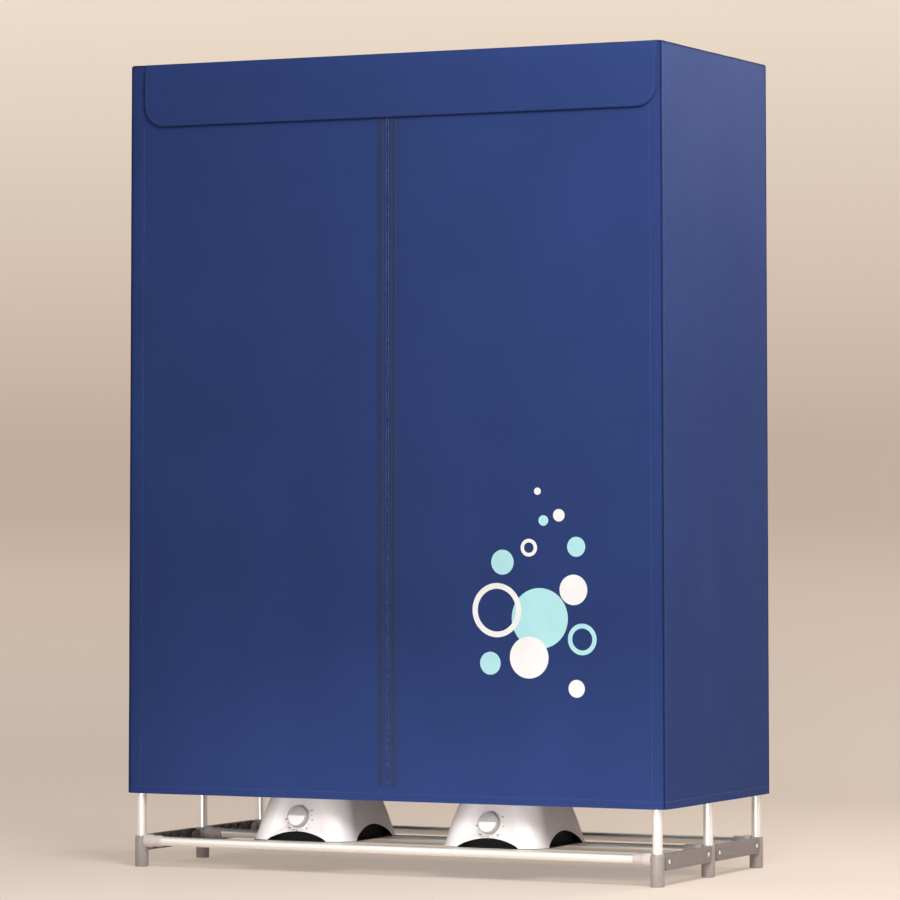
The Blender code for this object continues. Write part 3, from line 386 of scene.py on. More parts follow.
def moulded_group():
    """Injection moulding: fine grain, faint flow clouds, pale worn edges and dust on what faces up."""
    tree, given, out = group_tree("ShaderNodeTree", "moulded_plastic", [
        ("Place", "Vector", None), ("Colour", "Color", (0.5, 0.5, 0.5, 1)),
        ("Grain", "Float", 900.0), ("Roughness", "Float", 0.4), ("Wear", "Float", 0.3),
        ("Dust", "Float", 0.1)],
        FINISH_OUTPUTS)
    fine = grains(tree, given["Place"], given["Grain"], 2.0)
    broad = grains(tree, given["Place"], 22.0, 3.0)
    geometry = tree.nodes.new("ShaderNodeNewGeometry")
    edge = spread(tree, geometry.outputs["Pointiness"], 0.505, 0.56)
    scuffs = spread(tree, grains(tree, given["Place"], 130.0, 4.0), 0.42, 0.62)
    worn = times(tree, times(tree, edge, scuffs), given["Wear"])
    up = spread(tree, axes(tree, geometry.outputs["Normal"])[2], 0.55, 0.98)
    specks = spread(tree, grains(tree, given["Place"], 60.0, 5.0), 0.38, 0.70)
    dusty = times(tree, times(tree, up, specks), given["Dust"])
    cloudy = spread(tree, broad, 0.3, 0.7, 0.965, 1.035)
    base = shaded(tree, given["Colour"], cloudy)
    paler = mixed(tree, worn, base, (0.80, 0.80, 0.80, 1))
    colour = mixed(tree, dusty, paler, (0.50, 0.47, 0.43, 1))
    rough = plus(tree, given["Roughness"], times(tree, fine, 0.08))
    rough = plus(tree, rough, times(tree, plus(tree, worn, dusty), 0.35))
    return joined(tree, (colour, rough, fine), out)


def drawn_group():
    """Drawn metal: long fine lines, faint clouds and small marks."""
    tree, given, out = group_tree("ShaderNodeTree", "drawn_metal", [
        ("Place", "Vector", None), ("Along", "Vector", (500.0, 500.0, 6.0)),
        ("Colour", "Color", (0.7, 0.7, 0.7, 1)), ("Roughness", "Float", 0.2)],
        FINISH_OUTPUTS)
    lines = grains(tree, stretched(tree, given["Place"], given["Along"]), 1.0, 4.0)
    clouds = grains(tree, given["Place"], 30.0, 3.0)
    marks = spread(tree, grains(tree, given["Place"], 160.0, 2.0), 0.62, 0.78)
    tone = plus(tree, spread(tree, lines, 0.3, 0.7, 0.94, 1.03),
                 times(tree, marks, -0.05))
    rough = plus(tree, given["Roughness"], spread(tree, clouds, 0.35, 0.7, 0.0, 0.05))
    rough = plus(tree, rough, times(tree, marks, 0.03))
    return joined(tree, (shaded(tree, given["Colour"], tone), rough, lines), out)


def material_with(name, group, values, bump, sockets):
    """Material whose colour, roughness and bump come from one node group."""
    material = bpy.data.materials.new(name)
    material.use_nodes = True
    tree = material.node_tree
    shader = tree.nodes["Principled BSDF"]
    for label, value in sockets.items():
        shader.inputs[label].default_value = value
    node = tree.nodes.new("ShaderNodeGroup")
    node.node_tree = group
    coordinates = tree.nodes.new("ShaderNodeTexCoord")
    for label, output in (("Weave", "UV"), ("Place", "Object")):
        if label in node.inputs:
            tree.links.new(coordinates.outputs[output], node.inputs[label])
    for label, value in values.items():
        node.inputs[label].default_value = value
    tree.links.new(node.outputs["Color"], shader.inputs["Base Color"])
    tree.links.new(node.outputs["Roughness"], shader.inputs["Roughness"])
    height = tree.nodes.new("ShaderNodeBump")
    height.inputs["Strength"].default_value, height.inputs["Distance"].default_value = bump
    tree.links.new(node.outputs["Height"], height.inputs["Height"])
    tree.links.new(height.outputs["Normal"], shader.inputs["Normal"])
    material.diffuse_color = tuple(values["Colour"])
    return material


def shade_of(colour, factor):
    return tuple(min(1.0, c * factor) for c in colour[:3]) + (1.0,)


MATERIALS = {}


def make_materials(scene):
    """Every finish, in rows of one group's own values, bump and further sockets."""
    cloth, heater, metal = scene.dryer_cloth, scene.dryer_heater, scene.dryer_frame
    grey = (1100.0, 0.36, 0.06, 0.03)
    ink = (900.0, 0.45, 0.0, 0.0)
    families = (
        (woven_group(), ("Colour", "Pitch", "Unevenness"), (
            ("cloth", "blue_cloth", (cloth.colour, cloth.weave, 0.22), (0.35, 0.00018),
             {"Sheen Weight": 0.02, "Sheen Roughness": 0.4, "Specular IOR Level": 0.02}),
            ("band", "zip_band", (cloth.band_colour, cloth.weave * 1.6, 0.3), (0.6, 0.0003),
             {"Sheen Weight": 0.02, "Specular IOR Level": 0.05}),
            # Piping: its dark colour is painted shade along the cover's seams
            ("piping", "shaded_corner_piping", (cloth.piping_shade_colour, cloth.weave, 0.1), (0.3, 0.00018),
             {"Specular IOR Level": 0.05}))),
        (moulded_group(), ("Colour", "Grain", "Roughness", "Wear", "Dust"), (
            ("thread", "sewing_thread", (cloth.thread_colour, 4000.0, 0.55, 0.0, 0.0), (0.4, 0.0001),
             {"Sheen Weight": 0.1, "Specular IOR Level": 0.2}),
            ("teeth", "zip_teeth", (shade_of(cloth.colour, 1.1), 2500.0, 0.42, 0.1, 0.0), (0.2, 0.0001), {}),
            ("slider", "slider_enamel", (shade_of(cloth.colour, 0.8), 1500.0, 0.22, 0.6, 0.0),
             (0.1, 0.0001), {"Coat Weight": 0.4}),
            ("white_ink", "white_ink", (cloth.white_ink, *ink), (0.25, 0.0002), {}),
            ("aqua_ink", "aqua_ink", (cloth.aqua_ink, *ink), (0.25, 0.0002), {}),
            ("moulding", "grey_moulding", (metal.moulding_colour, *grey), (0.20, 0.0002), {}),
            # Arm: the grey moulding darkened as painted shade
            ("arm", "grey_arm_shaded", (metal.arm_shade_colour, *grey), (0.20, 0.0002), {}),
            # Sleeve: the same grey moulding made lighter, painted light on the rail sleeves
            ("sleeve", "grey_sleeve_painted_light", (shade_of(metal.moulding_colour, 1.9), *grey), (0.20, 0.0002), {}),
            ("shell", "white_shell", (heater.shell_colour, 1400.0, 0.34, 0.05, 0.04), (0.05, 0.0001),
             {"Coat Weight": 0.1, "Coat Roughness": 0.2}),
            ("dark", "dark_moulding", (heater.dark_colour, 1100.0, 0.45, 0.25, 0.35), (0.3, 0.0002), {}),
            # Inner: the dark moulding made darker still, painted shade inside the housings, also on the white
            # shell's inner faces
            ("inner", "inner_moulding", (shade_of(heater.dark_colour, 0.4), 1100.0, 0.60, 0.0, 0.0),
             (0.2, 0.0002), {"Specular IOR Level": 0.15}),
            # Knob grey: painted shade on the knob's side and upper half
            ("dial", "knob_shade_grey", (heater.knob_shade_colour, 1800.0, 0.35, 0.2, 0.0), (0.2, 0.0001), {}))),
        (drawn_group(), ("Colour", "Along", "Roughness"), (
            # Posts, rails and rivets are only partly metallic: their diffuse cream share is painted
            # reflection of the pale floor
            ("post", "post_steel", (metal.steel_and_reflection_colour, (520.0, 520.0, 5.0), 0.28), (0.02, 0.0001),
             {"Metallic": 0.5}),
            ("rail", "rail_steel", (metal.steel_and_reflection_colour, (5.0, 520.0, 520.0), 0.28), (0.02, 0.0001),
             {"Metallic": 0.5}),
            ("rivet", "rivet_steel", (metal.steel_and_reflection_colour, (700.0, 700.0, 700.0), 0.25), (0.15, 0.0001),
             {"Metallic": 0.6}),
            ("element", "element_aluminium", ((0.62, 0.62, 0.63, 1), (40.0, 900.0, 900.0), 0.34),
             (0.3, 0.0002), {"Metallic": 1.0}),
            ("motor", "motor_can", ((0.55, 0.55, 0.56, 1), (60.0, 60.0, 900.0), 0.30), (0.3, 0.0002),
             {"Metallic": 1.0}))))
    for group, labels, rows in families:
        for key, name, values, bump, sockets in rows:
            MATERIALS[key] = material_with(name, group, dict(zip(labels, values)), bump, sockets)


def linked(name, data, finish=None):
    piece = bpy.data.objects.new(name, data)
    bpy.context.scene.collection.objects.link(piece)
    return painted(piece, finish) if finish else piece


def painted(piece, finish):
    """Give a piece one finish alone."""
    piece.data.materials.clear()
    piece.data.materials.append(MATERIALS[finish])
    return piece


def mesh_from(bm, name, place=None):
    """Mesh from an edit mesh, which is freed."""
    mesh = bpy.data.meshes.new(name)
    bm.to_mesh(mesh)
    bm.free()
    if place is not None:
        mesh.transform(place)
    return mesh


def walled(piece, thickness, offset, inner=0):
    """Sheet made solid, its inner faces in the material so many slots on."""
    wall = piece.modifiers.new("wall", "SOLIDIFY")
    wall.thickness = thickness
    wall.offset = offset
    wall.material_offset = inner
    return settled(piece)


def settled(piece):
    """Apply a piece's modifiers and turn a curve into a plain mesh that lies at the origin."""
    bpy.context.view_layer.update()
    graph = bpy.context.evaluated_depsgraph_get()
    mesh = bpy.data.meshes.new_from_object(piece.evaluated_get(graph), depsgraph=graph)
    mesh.transform(piece.matrix_world)
    mesh.name = piece.name
    name = piece.name
    bpy.data.objects.remove(piece)
    return linked(name, mesh)


def fixed(piece, body, slot, *nodes):
    """Tie a finished piece to its body and hide the nodes that it stands for; its slot is not used."""
    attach(piece, body)
    if nodes:
        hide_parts(*nodes)
    return piece


def merged(name, pieces):
    """One object from several, in their own places."""
    mesh = bpy.data.meshes.new(name)
    bm = bmesh.new()
    materials = []
    for piece in pieces:
        for material in piece.data.materials:
            if material not in materials:
                materials.append(material)
    for piece in pieces:
        start = len(bm.faces)
        piece.data.transform(piece.matrix_world)
        bm.from_mesh(piece.data)
        bm.faces.ensure_lookup_table()
        own = [materials.index(m) for m in piece.data.materials] or [0]
        for face in bm.faces[start:]:
            face.material_index = own[min(face.material_index, len(own) - 1)]
        bpy.data.objects.remove(piece)
    bm.to_mesh(mesh)
    bm.free()
    for material in materials:
        mesh.materials.append(material)
    return linked(name, mesh)


def smoothed(piece, angle=radians(40)):
    piece.data.shade_smooth()
    piece.data.set_sharp_from_angle(angle=angle)
    return piece


def between(low, high, step, marks=()):
    """Grid lines from low to high no further apart than step, with finer ones beside each mark."""
    count = max(1, round((high - low) / step))
    lines = [low + (high - low) * i / count for i in range(count + 1)]
    for mark in marks:
        close = [mark + offset for offset in (-0.0045, -0.0025, -0.0012, 0, 0.0012, 0.0025, 0.0045)]
        close = [line for line in close if low < line < high]
        lines = [line for line in lines if line in (low, high)
                 or all(abs(line - other) > 0.0022 for other in close)] + close
    return sorted(lines)


def cloth_grid(name, columns, rows, point, thickness, finish):
    """Sheet of cloth from flat lines in metres, set in space by point(u, v), with its wall inwards."""
    verts = [point(u, v) for v in rows for u in columns]
    width = len(columns)
    faces = [(j * width + i, j * width + i + 1, (j + 1) * width + i + 1, (j + 1) * width + i)
             for j in range(len(rows) - 1) for i in range(width - 1)]
    mesh = bpy.data.meshes.new(name)
    mesh.from_pydata(verts, [], faces)
    flat = [(u, v) for v in rows for u in columns]
    layer = mesh.uv_layers.new(name="UVMap")
    for loop in mesh.loops:
        layer.data[loop.index].uv = flat[loop.vertex_index]
    return smoothed(walled(linked(name, mesh, finish), thickness, -1), radians(50))


def fade(distance, reach):
    """0 at an edge, 1 from reach on, smooth in between."""
    share = max(0.0, min(1.0, distance / reach))
    return share * share * (3 - 2 * share)


def pinch(distance, along, depth=0.0005):
    """Dent and small puckers that a row of stitches draws in the cloth beside it."""
    pull = depth * exp(-(distance / DENT_REACH) ** 2)
    wave = noise.noise(Vector((along * 75, distance * 30, 0.3)))
    return PUCKER_HEIGHT * wave * exp(-(distance / PUCKER_REACH) ** 2) - pull


def unevenness(x, y, z, amount):
    broad = noise.noise(Vector((x * 4.3, y * 4.3, z * 1.5 + 7)))
    drape = noise.noise(Vector((x * 11.0, y * 11.0, z * 2.2 + 3)))
    small = noise.noise(Vector((x * 26.0, y * 26.0, z * 17.0 + 1)))
    return amount * (broad + 0.40 * drape + 0.10 * small)


def hang(across, up, folds):
    """Swell of a hanging panel, as in its solid: folds that fade at the seams and towards the top."""
    depth = bpy.context.scene.dryer_cloth.fold_depth
    wave = sin(folds * pi * across) ** 2 * sin(pi * across)
    return depth * wave * max(0.0, 1 - up) ** 0.85 * min(1, up * folds + 0.5)


def rippled(x, y, z, calm):
    """Soft unevenness between the folds, less where the cloth is calm."""
    ripple = bpy.context.scene.dryer_cloth.ripple
    return (unevenness(x, y, z, ripple) + 0.4 * ripple) * calm


def hem_wave(z, spot, seed, height, edge):
    """Turned-up cloth of the hem, in a slight wave that calms at the panel's edges."""
    if z >= HEM_LINE:
        return 0.0
    return HEM_STAND + height * noise.noise(Vector((spot * 9, seed, 0))) * fade(edge, 0.05)


def flare(z):
    """The cover stands a little wider at its hem than at its top."""
    share = (z - HEM) / (CLOTH_TOP - HEM)
    return 1 + (HEM_FLARE - FLARE_FALL * share) / HALF


def front_point(x, z, lift=0.0):
    """Point on the doors and the header, lift metres in front of them."""
    inner = ZIP - DOOR_GAP if x < ZIP else ZIP + DOOR_GAP
    outer = -DOOR_SEAM if x < ZIP else DOOR_SEAM
    across = max(0.0, min(1.0, (x - outer) / (inner - outer)))
    up = (z - HEM) / (DOOR_TOP - HEM)
    swell = hang(across, up, 3)
    calm = fade(abs(x - outer), 0.05) * fade(abs(x - ZIP) - BAND_FAR, 0.05) * fade(DOOR_TOP + 0.02 - z, 0.15)
    swell += rippled(x, 0, z, calm)
    for line in SIDE_LINES:
        swell += pinch(abs(x - line), z) * fade(z - HEM, 0.01)
    swell += pinch(abs(z - HEM_LINE), x)
    for side in (-1, 1):
        swell += 0.6 * pinch(abs(x - ZIP - side * BAND_FAR), z + side) * fade(z - ZIP_BOTTOM, 0.02)
    swell += hem_wave(z, x, 2.5, 0.0009, abs(x - outer))
    swell -= 0.0018 * (1 - min(1, abs(x - outer) / EDGE_STRIP)) ** 2
    closing = 0.00122 * fade(ZIP_BOTTOM + 0.012 - z, 0.008) * exp(-((x - ZIP) / 0.006) ** 2)
    shut = closing if x < ZIP else -closing
    return Vector((x * flare(z) + shut, FRONT - swell - lift, z))


def side_point(sign, y, z, lift=0.0):
    across = (y - FRONT) / (BACK - FRONT)
    across = across if sign > 0 else 1 - across
    up = (z - HEM) / (SIDE_TOP - HEM)
    swell = hang(across, up, 2)
    edge = min(y - FRONT, BACK - y, 0.2)
    calm = fade(edge, 0.06) * fade(SIDE_TOP - z, 0.16)
    swell += rippled(sign * 3 + 5, y, z, calm)
    swell += pinch(abs(z - HEM_LINE), y + sign) * fade(edge, 0.01)
    for line in (FRONT + SEAM_IN, BACK - SEAM_IN):
        swell += pinch(abs(y - line), z + sign)
    swell += hem_wave(z, y, sign * 4.5, 0.0010, edge)
    return Vector((sign * (HALF * flare(z) + swell + lift), y, z))


def back_point(x, z, lift=0.0):
    across = (HALF - x) / (2 * HALF)
    up = (z - HEM) / (SIDE_TOP - HEM)
    swell = hang(across, up, 4)
    edge = HALF - abs(x)
    calm = fade(edge, 0.06) * fade(SIDE_TOP - z, 0.16)
    swell += rippled(x, 9, z, calm)
    swell += pinch(abs(z - HEM_LINE), x)
    for line in (-HALF + SEAM_IN, 0.0, HALF - SEAM_IN):
        swell += pinch(abs(x - line), z)
    swell += hem_wave(z, x, 8.5, 0.0010, edge)
    return Vector((x * flare(z), BACK + swell + lift, z))


def top_point(x, y, lift=0.0):
    """Top panel: it sags a little between the three top rails that carry it."""
    post_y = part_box("rail_top_rear")[0].y + 0.009
    middle = (FRONT + BACK) / 2
    bay = abs(sin(pi * (y - middle) / (post_y - middle)))
    calm = fade(HALF - abs(x), 0.05) * fade(min(y - FRONT, BACK - y), 0.03)
    sag = (0.0030 * bay + 0.0012 + unevenness(x, y, 30, 0.0012)) * calm
    return Vector((x * flare(CLOTH_TOP), y, CLOTH_TOP - 0.0008 - max(0.0, sag) + lift))


def corner_inset(rise):
    """How far the flap's round lower corner has cut in at a height."""
    if rise >= FLAP_CORNER:
        return 0.0
    return FLAP_CORNER - sqrt(FLAP_CORNER ** 2 - (FLAP_CORNER - rise) ** 2)


def flap_point(across, rise, lift=0.0):
    """Point on the flap from its share across and its height above the lower edge."""
    drop = CLOTH_TOP - FLAP_LOW.z
    inset = corner_inset(rise)
    left, right = FLAP_LOW.x + inset, FLAP_HIGH.x - inset
    x = left + (right - left) * across
    fall = min(1, (drop - rise) / FLAP_ROLL)
    stand = FLAP_STAND * fall * (2 - fall)
    amount = 0.0011 * fade(drop - rise, 0.05)
    wave = unevenness(x, 17, rise * 4, amount)
    stand += wave + pinch(abs(rise - FLAP_STITCH), x) * 0.7
    return Vector((x * flare(CLOTH_TOP), FLAP_SEAM - stand - lift, FLAP_LOW.z + rise))


def run_of(point, start, end, step=0.006):
    """Points along a seam from start to end."""
    count = max(2, round(abs(end - start) / step))
    return [point(start + (end - start) * i / count) for i in range(count + 1)]


def path_object(name, runs):
    """Edges along several runs of points, for a node tree to follow."""
    mesh = bpy.data.meshes.new(name)
    verts, edges = [], []
    for run in runs:
        start = len(verts)
        verts += [tuple(p) for p in run]
        edges += [(start + i, start + i + 1) for i in range(len(run) - 1)]
    mesh.from_pydata(verts, edges, [])
    return linked(name, mesh)


def geometry_tree(name, *inputs):
    """Geometry node tree that takes a geometry, its own inputs and a material."""
    return group_tree("GeometryNodeTree", name, [("Geometry", "Geometry", None), *inputs,
                                                 ("Material", "Material", None)],
                      [("Geometry", "Geometry")])


def node_in(tree, kind, settings=(), **inputs):
    """First output of a new node with its settings and inputs."""
    node = tree.nodes.new(kind)
    for label, value in dict(settings).items():
        setattr(node, label, value)
    for label, term in inputs.items():
        feed(tree, node.inputs[label], term)
    return node.outputs[0]


def finished_tree(tree, given, geometry, out):
    """Every tree ends in real geometry with its material."""
    real = node_in(tree, "GeometryNodeRealizeInstances", Geometry=geometry)
    soft = node_in(tree, "GeometryNodeSetShadeSmooth", Geometry=real)
    done = node_in(tree, "GeometryNodeSetMaterial", Geometry=soft, Material=given["Material"])
    return joined(tree, (done,), out)


def bead_row(tree, given, segments, rings, size):
    """Points at an even pitch along the object's edges, and a rounded bead of a size to set on them."""
    curve = node_in(tree, "GeometryNodeMeshToCurve", Mesh=given["Geometry"])
    even = node_in(tree, "GeometryNodeResampleCurve", {"mode": "LENGTH"}, Curve=curve,
                   Length=given["Pitch"])
    bead = node_in(tree, "GeometryNodeMeshUVSphere", Segments=segments, Rings=rings, Radius=0.5)
    scale = node_in(tree, "ShaderNodeCombineXYZ", X=given[size[0]], Y=given[size[1]], Z=given[size[2]])
    return even, node_in(tree, "GeometryNodeTransform", Geometry=bead, Scale=scale)


def stitch_tree():
    """A row of lying stitches along each edge path."""
    tree, given, out = geometry_tree(
        "stitch_row", ("Pitch", "Float", 0.004), ("Length", "Float", 0.003), ("Thickness", "Float", 0.0006))
    even, stitch = bead_row(tree, given, 6, 4, ("Thickness", "Thickness", "Length"))
    tangent = node_in(tree, "GeometryNodeInputTangent")
    turn = node_in(tree, "FunctionNodeAlignRotationToVector", {"axis": "Z"}, Vector=tangent)
    rows = node_in(tree, "GeometryNodeInstanceOnPoints", Points=even, Instance=stitch, Rotation=turn)
    return finished_tree(tree, given, rows, out)


def teeth_tree():
    """Coil teeth along an upright zip: flattened loops at an even pitch."""
    tree, given, out = geometry_tree(
        "coil_teeth", ("Pitch", "Float", 0.0024), ("Width", "Float", 0.003), ("Height", "Float", 0.0015),
        ("Depth", "Float", 0.002))
    even, tooth = bead_row(tree, given, 8, 5, ("Width", "Depth", "Height"))
    rows = node_in(tree, "GeometryNodeInstanceOnPoints", Points=even, Instance=tooth)
    return finished_tree(tree, given, rows, out)


def spoke_tree():
    """Thin bars set radially in a ring around the object's single point."""
    tree, given, out = geometry_tree(
        "radial_bars", ("Count", "Int", 24), ("Inner", "Float", 0.014), ("Outer", "Float", 0.06),
        ("Width", "Float", 0.0015), ("Height", "Float", 0.002))
    span = maths(tree, "SUBTRACT", given["Outer"], given["Inner"])
    size = node_in(tree, "ShaderNodeCombineXYZ", X=span, Y=given["Width"], Z=given["Height"])
    shift = node_in(tree, "ShaderNodeCombineXYZ",
                    X=maths(tree, "MULTIPLY_ADD", span, 0.5, given["Inner"]))
    bar = node_in(tree, "GeometryNodeMeshCube", Size=size)
    placed = node_in(tree, "GeometryNodeTransform", Geometry=bar, Translation=shift)
    points = node_in(tree, "GeometryNodePoints", Count=given["Count"])
    share = maths(tree, "DIVIDE", node_in(tree, "GeometryNodeInputIndex"), given["Count"])
    spin = node_in(tree, "ShaderNodeCombineXYZ", Z=times(tree, share, 2 * pi))
    ring = node_in(tree, "GeometryNodeInstanceOnPoints", Points=points, Instance=placed, Rotation=spin)
    own = node_in(tree, "GeometryNodeInstanceOnPoints", Points=given["Geometry"], Instance=ring)
    return finished_tree(tree, given, own, out)


def grown(piece, tree, finish, **values):
    """Run a node tree on a path object with its own sizes, and keep the result as a plain mesh."""
    modifier = piece.modifiers.new(tree.name, "NODES")
    modifier.node_group = tree
    values["Material"] = MATERIALS[finish]
    for item in tree.interface.items_tree:
        if item.item_type == "SOCKET" and item.in_out == "INPUT" and item.name in values:
            modifier[item.identifier] = values[item.name]
    return settled(piece)


TREES = {}


def tree_named(name, build):
    if name not in TREES:
        TREES[name] = build()
    return TREES[name]


def stitched(name, runs, body, pitch=None, thickness=0.0009):
    cloth = bpy.context.scene.dryer_cloth
    pitch = pitch or cloth.stitch_pitch
    piece = grown(path_object(name, runs), tree_named("stitches", stitch_tree), "thread", Pitch=pitch,
                  Length=pitch * STITCH_SHARE, Thickness=thickness)
    return fixed(piece, body, "blue_cloth")


def spline_on(curve, points, cyclic):
    """Straight-sided spline through flat or spatial points."""
    spline = curve.splines.new("POLY")
    spline.points.add(len(points) - 1)
    for target, point in zip(spline.points, points):
        target.co = (*point, 0)[:3] + (1,)
    spline.use_cyclic_u = cyclic


def tube_along(name, points, radius, finish, sides=10, closed=False):
    """Round cord-like moulding or piping that follows points."""
    curve = bpy.data.curves.new(name, "CURVE")
    curve.dimensions = "3D"
    spline_on(curve, points, closed)
    curve.bevel_depth = radius
    curve.bevel_resolution = max(1, sides // 4 - 1)
    curve.use_fill_caps = not closed
    done = painted(settled(linked(name, curve)), finish)
    done.data.shade_smooth()
    layer = done.data.uv_layers.new(name="UVMap") if not done.data.uv_layers else done.data.uv_layers[0]
    for loop in done.data.loops:
        place = done.data.vertices[loop.vertex_index].co
        layer.data[loop.index].uv = (place.x + place.y, place.z + place.y)
    return done


def circle(radius, sides, point):
    """Points round a centre, or the centre alone where the radius is nothing."""
    if radius < 1e-6:
        return [point(0, 0)]
    return [point(radius * cos(2 * pi * i / sides), radius * sin(2 * pi * i / sides)) for i in range(sides)]


def skinned(bm, rows, around=True, closed=False):
    """Faces between each row of points and the next; a row of one point is a tip."""
    rows = [[bm.verts.new(point) for point in row] for row in rows]
    for low, high in zip(rows, rows[1:] + (rows[:1] if closed else [])):
        count = max(len(low), len(high))
        for i in range(count if around else count - 1):
            j = (i + 1) % count
            corners = (low[i % len(low)], low[j % len(low)], high[j % len(high)], high[i % len(high)])
            corners = list(dict.fromkeys(corners))
            if len(corners) > 2:
                bm.faces.new(corners)


def turned(name, profile, finish, sides=48, place=Matrix.Identity(4), closed=False):
    """Body of revolution about local Z from (radius, height) points."""
    bm = bmesh.new()
    skinned(bm, [circle(radius, sides, lambda x, y: (x, y, height)) for radius, height in profile],
            closed=closed)
    bmesh.ops.recalc_face_normals(bm, faces=bm.faces)
    return smoothed(linked(name, mesh_from(bm, name, place), finish))


def slab(name, outline, depth, finish, place=Matrix.Identity(4), holes=(), edge=0.0005):
    """Flat outline with holes, pulled to a depth with softened edges, its middle on local Z = 0."""
    curve = bpy.data.curves.new(name, "CURVE")
    curve.dimensions = "2D"
    curve.fill_mode = "BOTH"
    for points in (outline, *holes):
        spline_on(curve, points, True)
    curve.extrude = depth / 2 - edge
    curve.bevel_depth = edge
    curve.bevel_resolution = 1
    curve.offset = -edge
    done = painted(settled(linked(name, curve)), finish)
    bm = bmesh.new()
    bm.from_mesh(done.data)
    bmesh.ops.remove_doubles(bm, verts=bm.verts, dist=1e-6)
    bmesh.ops.recalc_face_normals(bm, faces=bm.faces)
    bm.to_mesh(done.data)
    bm.free()
    done.data.transform(place)
    return smoothed(done)


def arc(centre, radius, start, end, steps):
    return [(centre[0] + radius * cos(start + (end - start) * i / steps),
             centre[1] + radius * sin(start + (end - start) * i / steps)) for i in range(steps + 1)]


def rounded_rectangle(half_x, half_y, corner, steps=6):
    points = []
    for turn, (sign_x, sign_y) in enumerate(((1, 1), (-1, 1), (-1, -1), (1, -1))):
        centre = (sign_x * (half_x - corner), sign_y * (half_y - corner))
        points += arc(centre, corner, turn * pi / 2, (turn + 1) * pi / 2, steps)
    return points


def seen_directly(tree):
    """1 for rays from the camera and from metal or glass, 0 for the light on the dryer."""
    path = tree.nodes.new("ShaderNodeLightPath")
    return maths(tree, "MAXIMUM", path.outputs["Is Camera Ray"],
                 maths(tree, "MAXIMUM", path.outputs["Is Glossy Ray"], path.outputs["Is Transmission Ray"]))


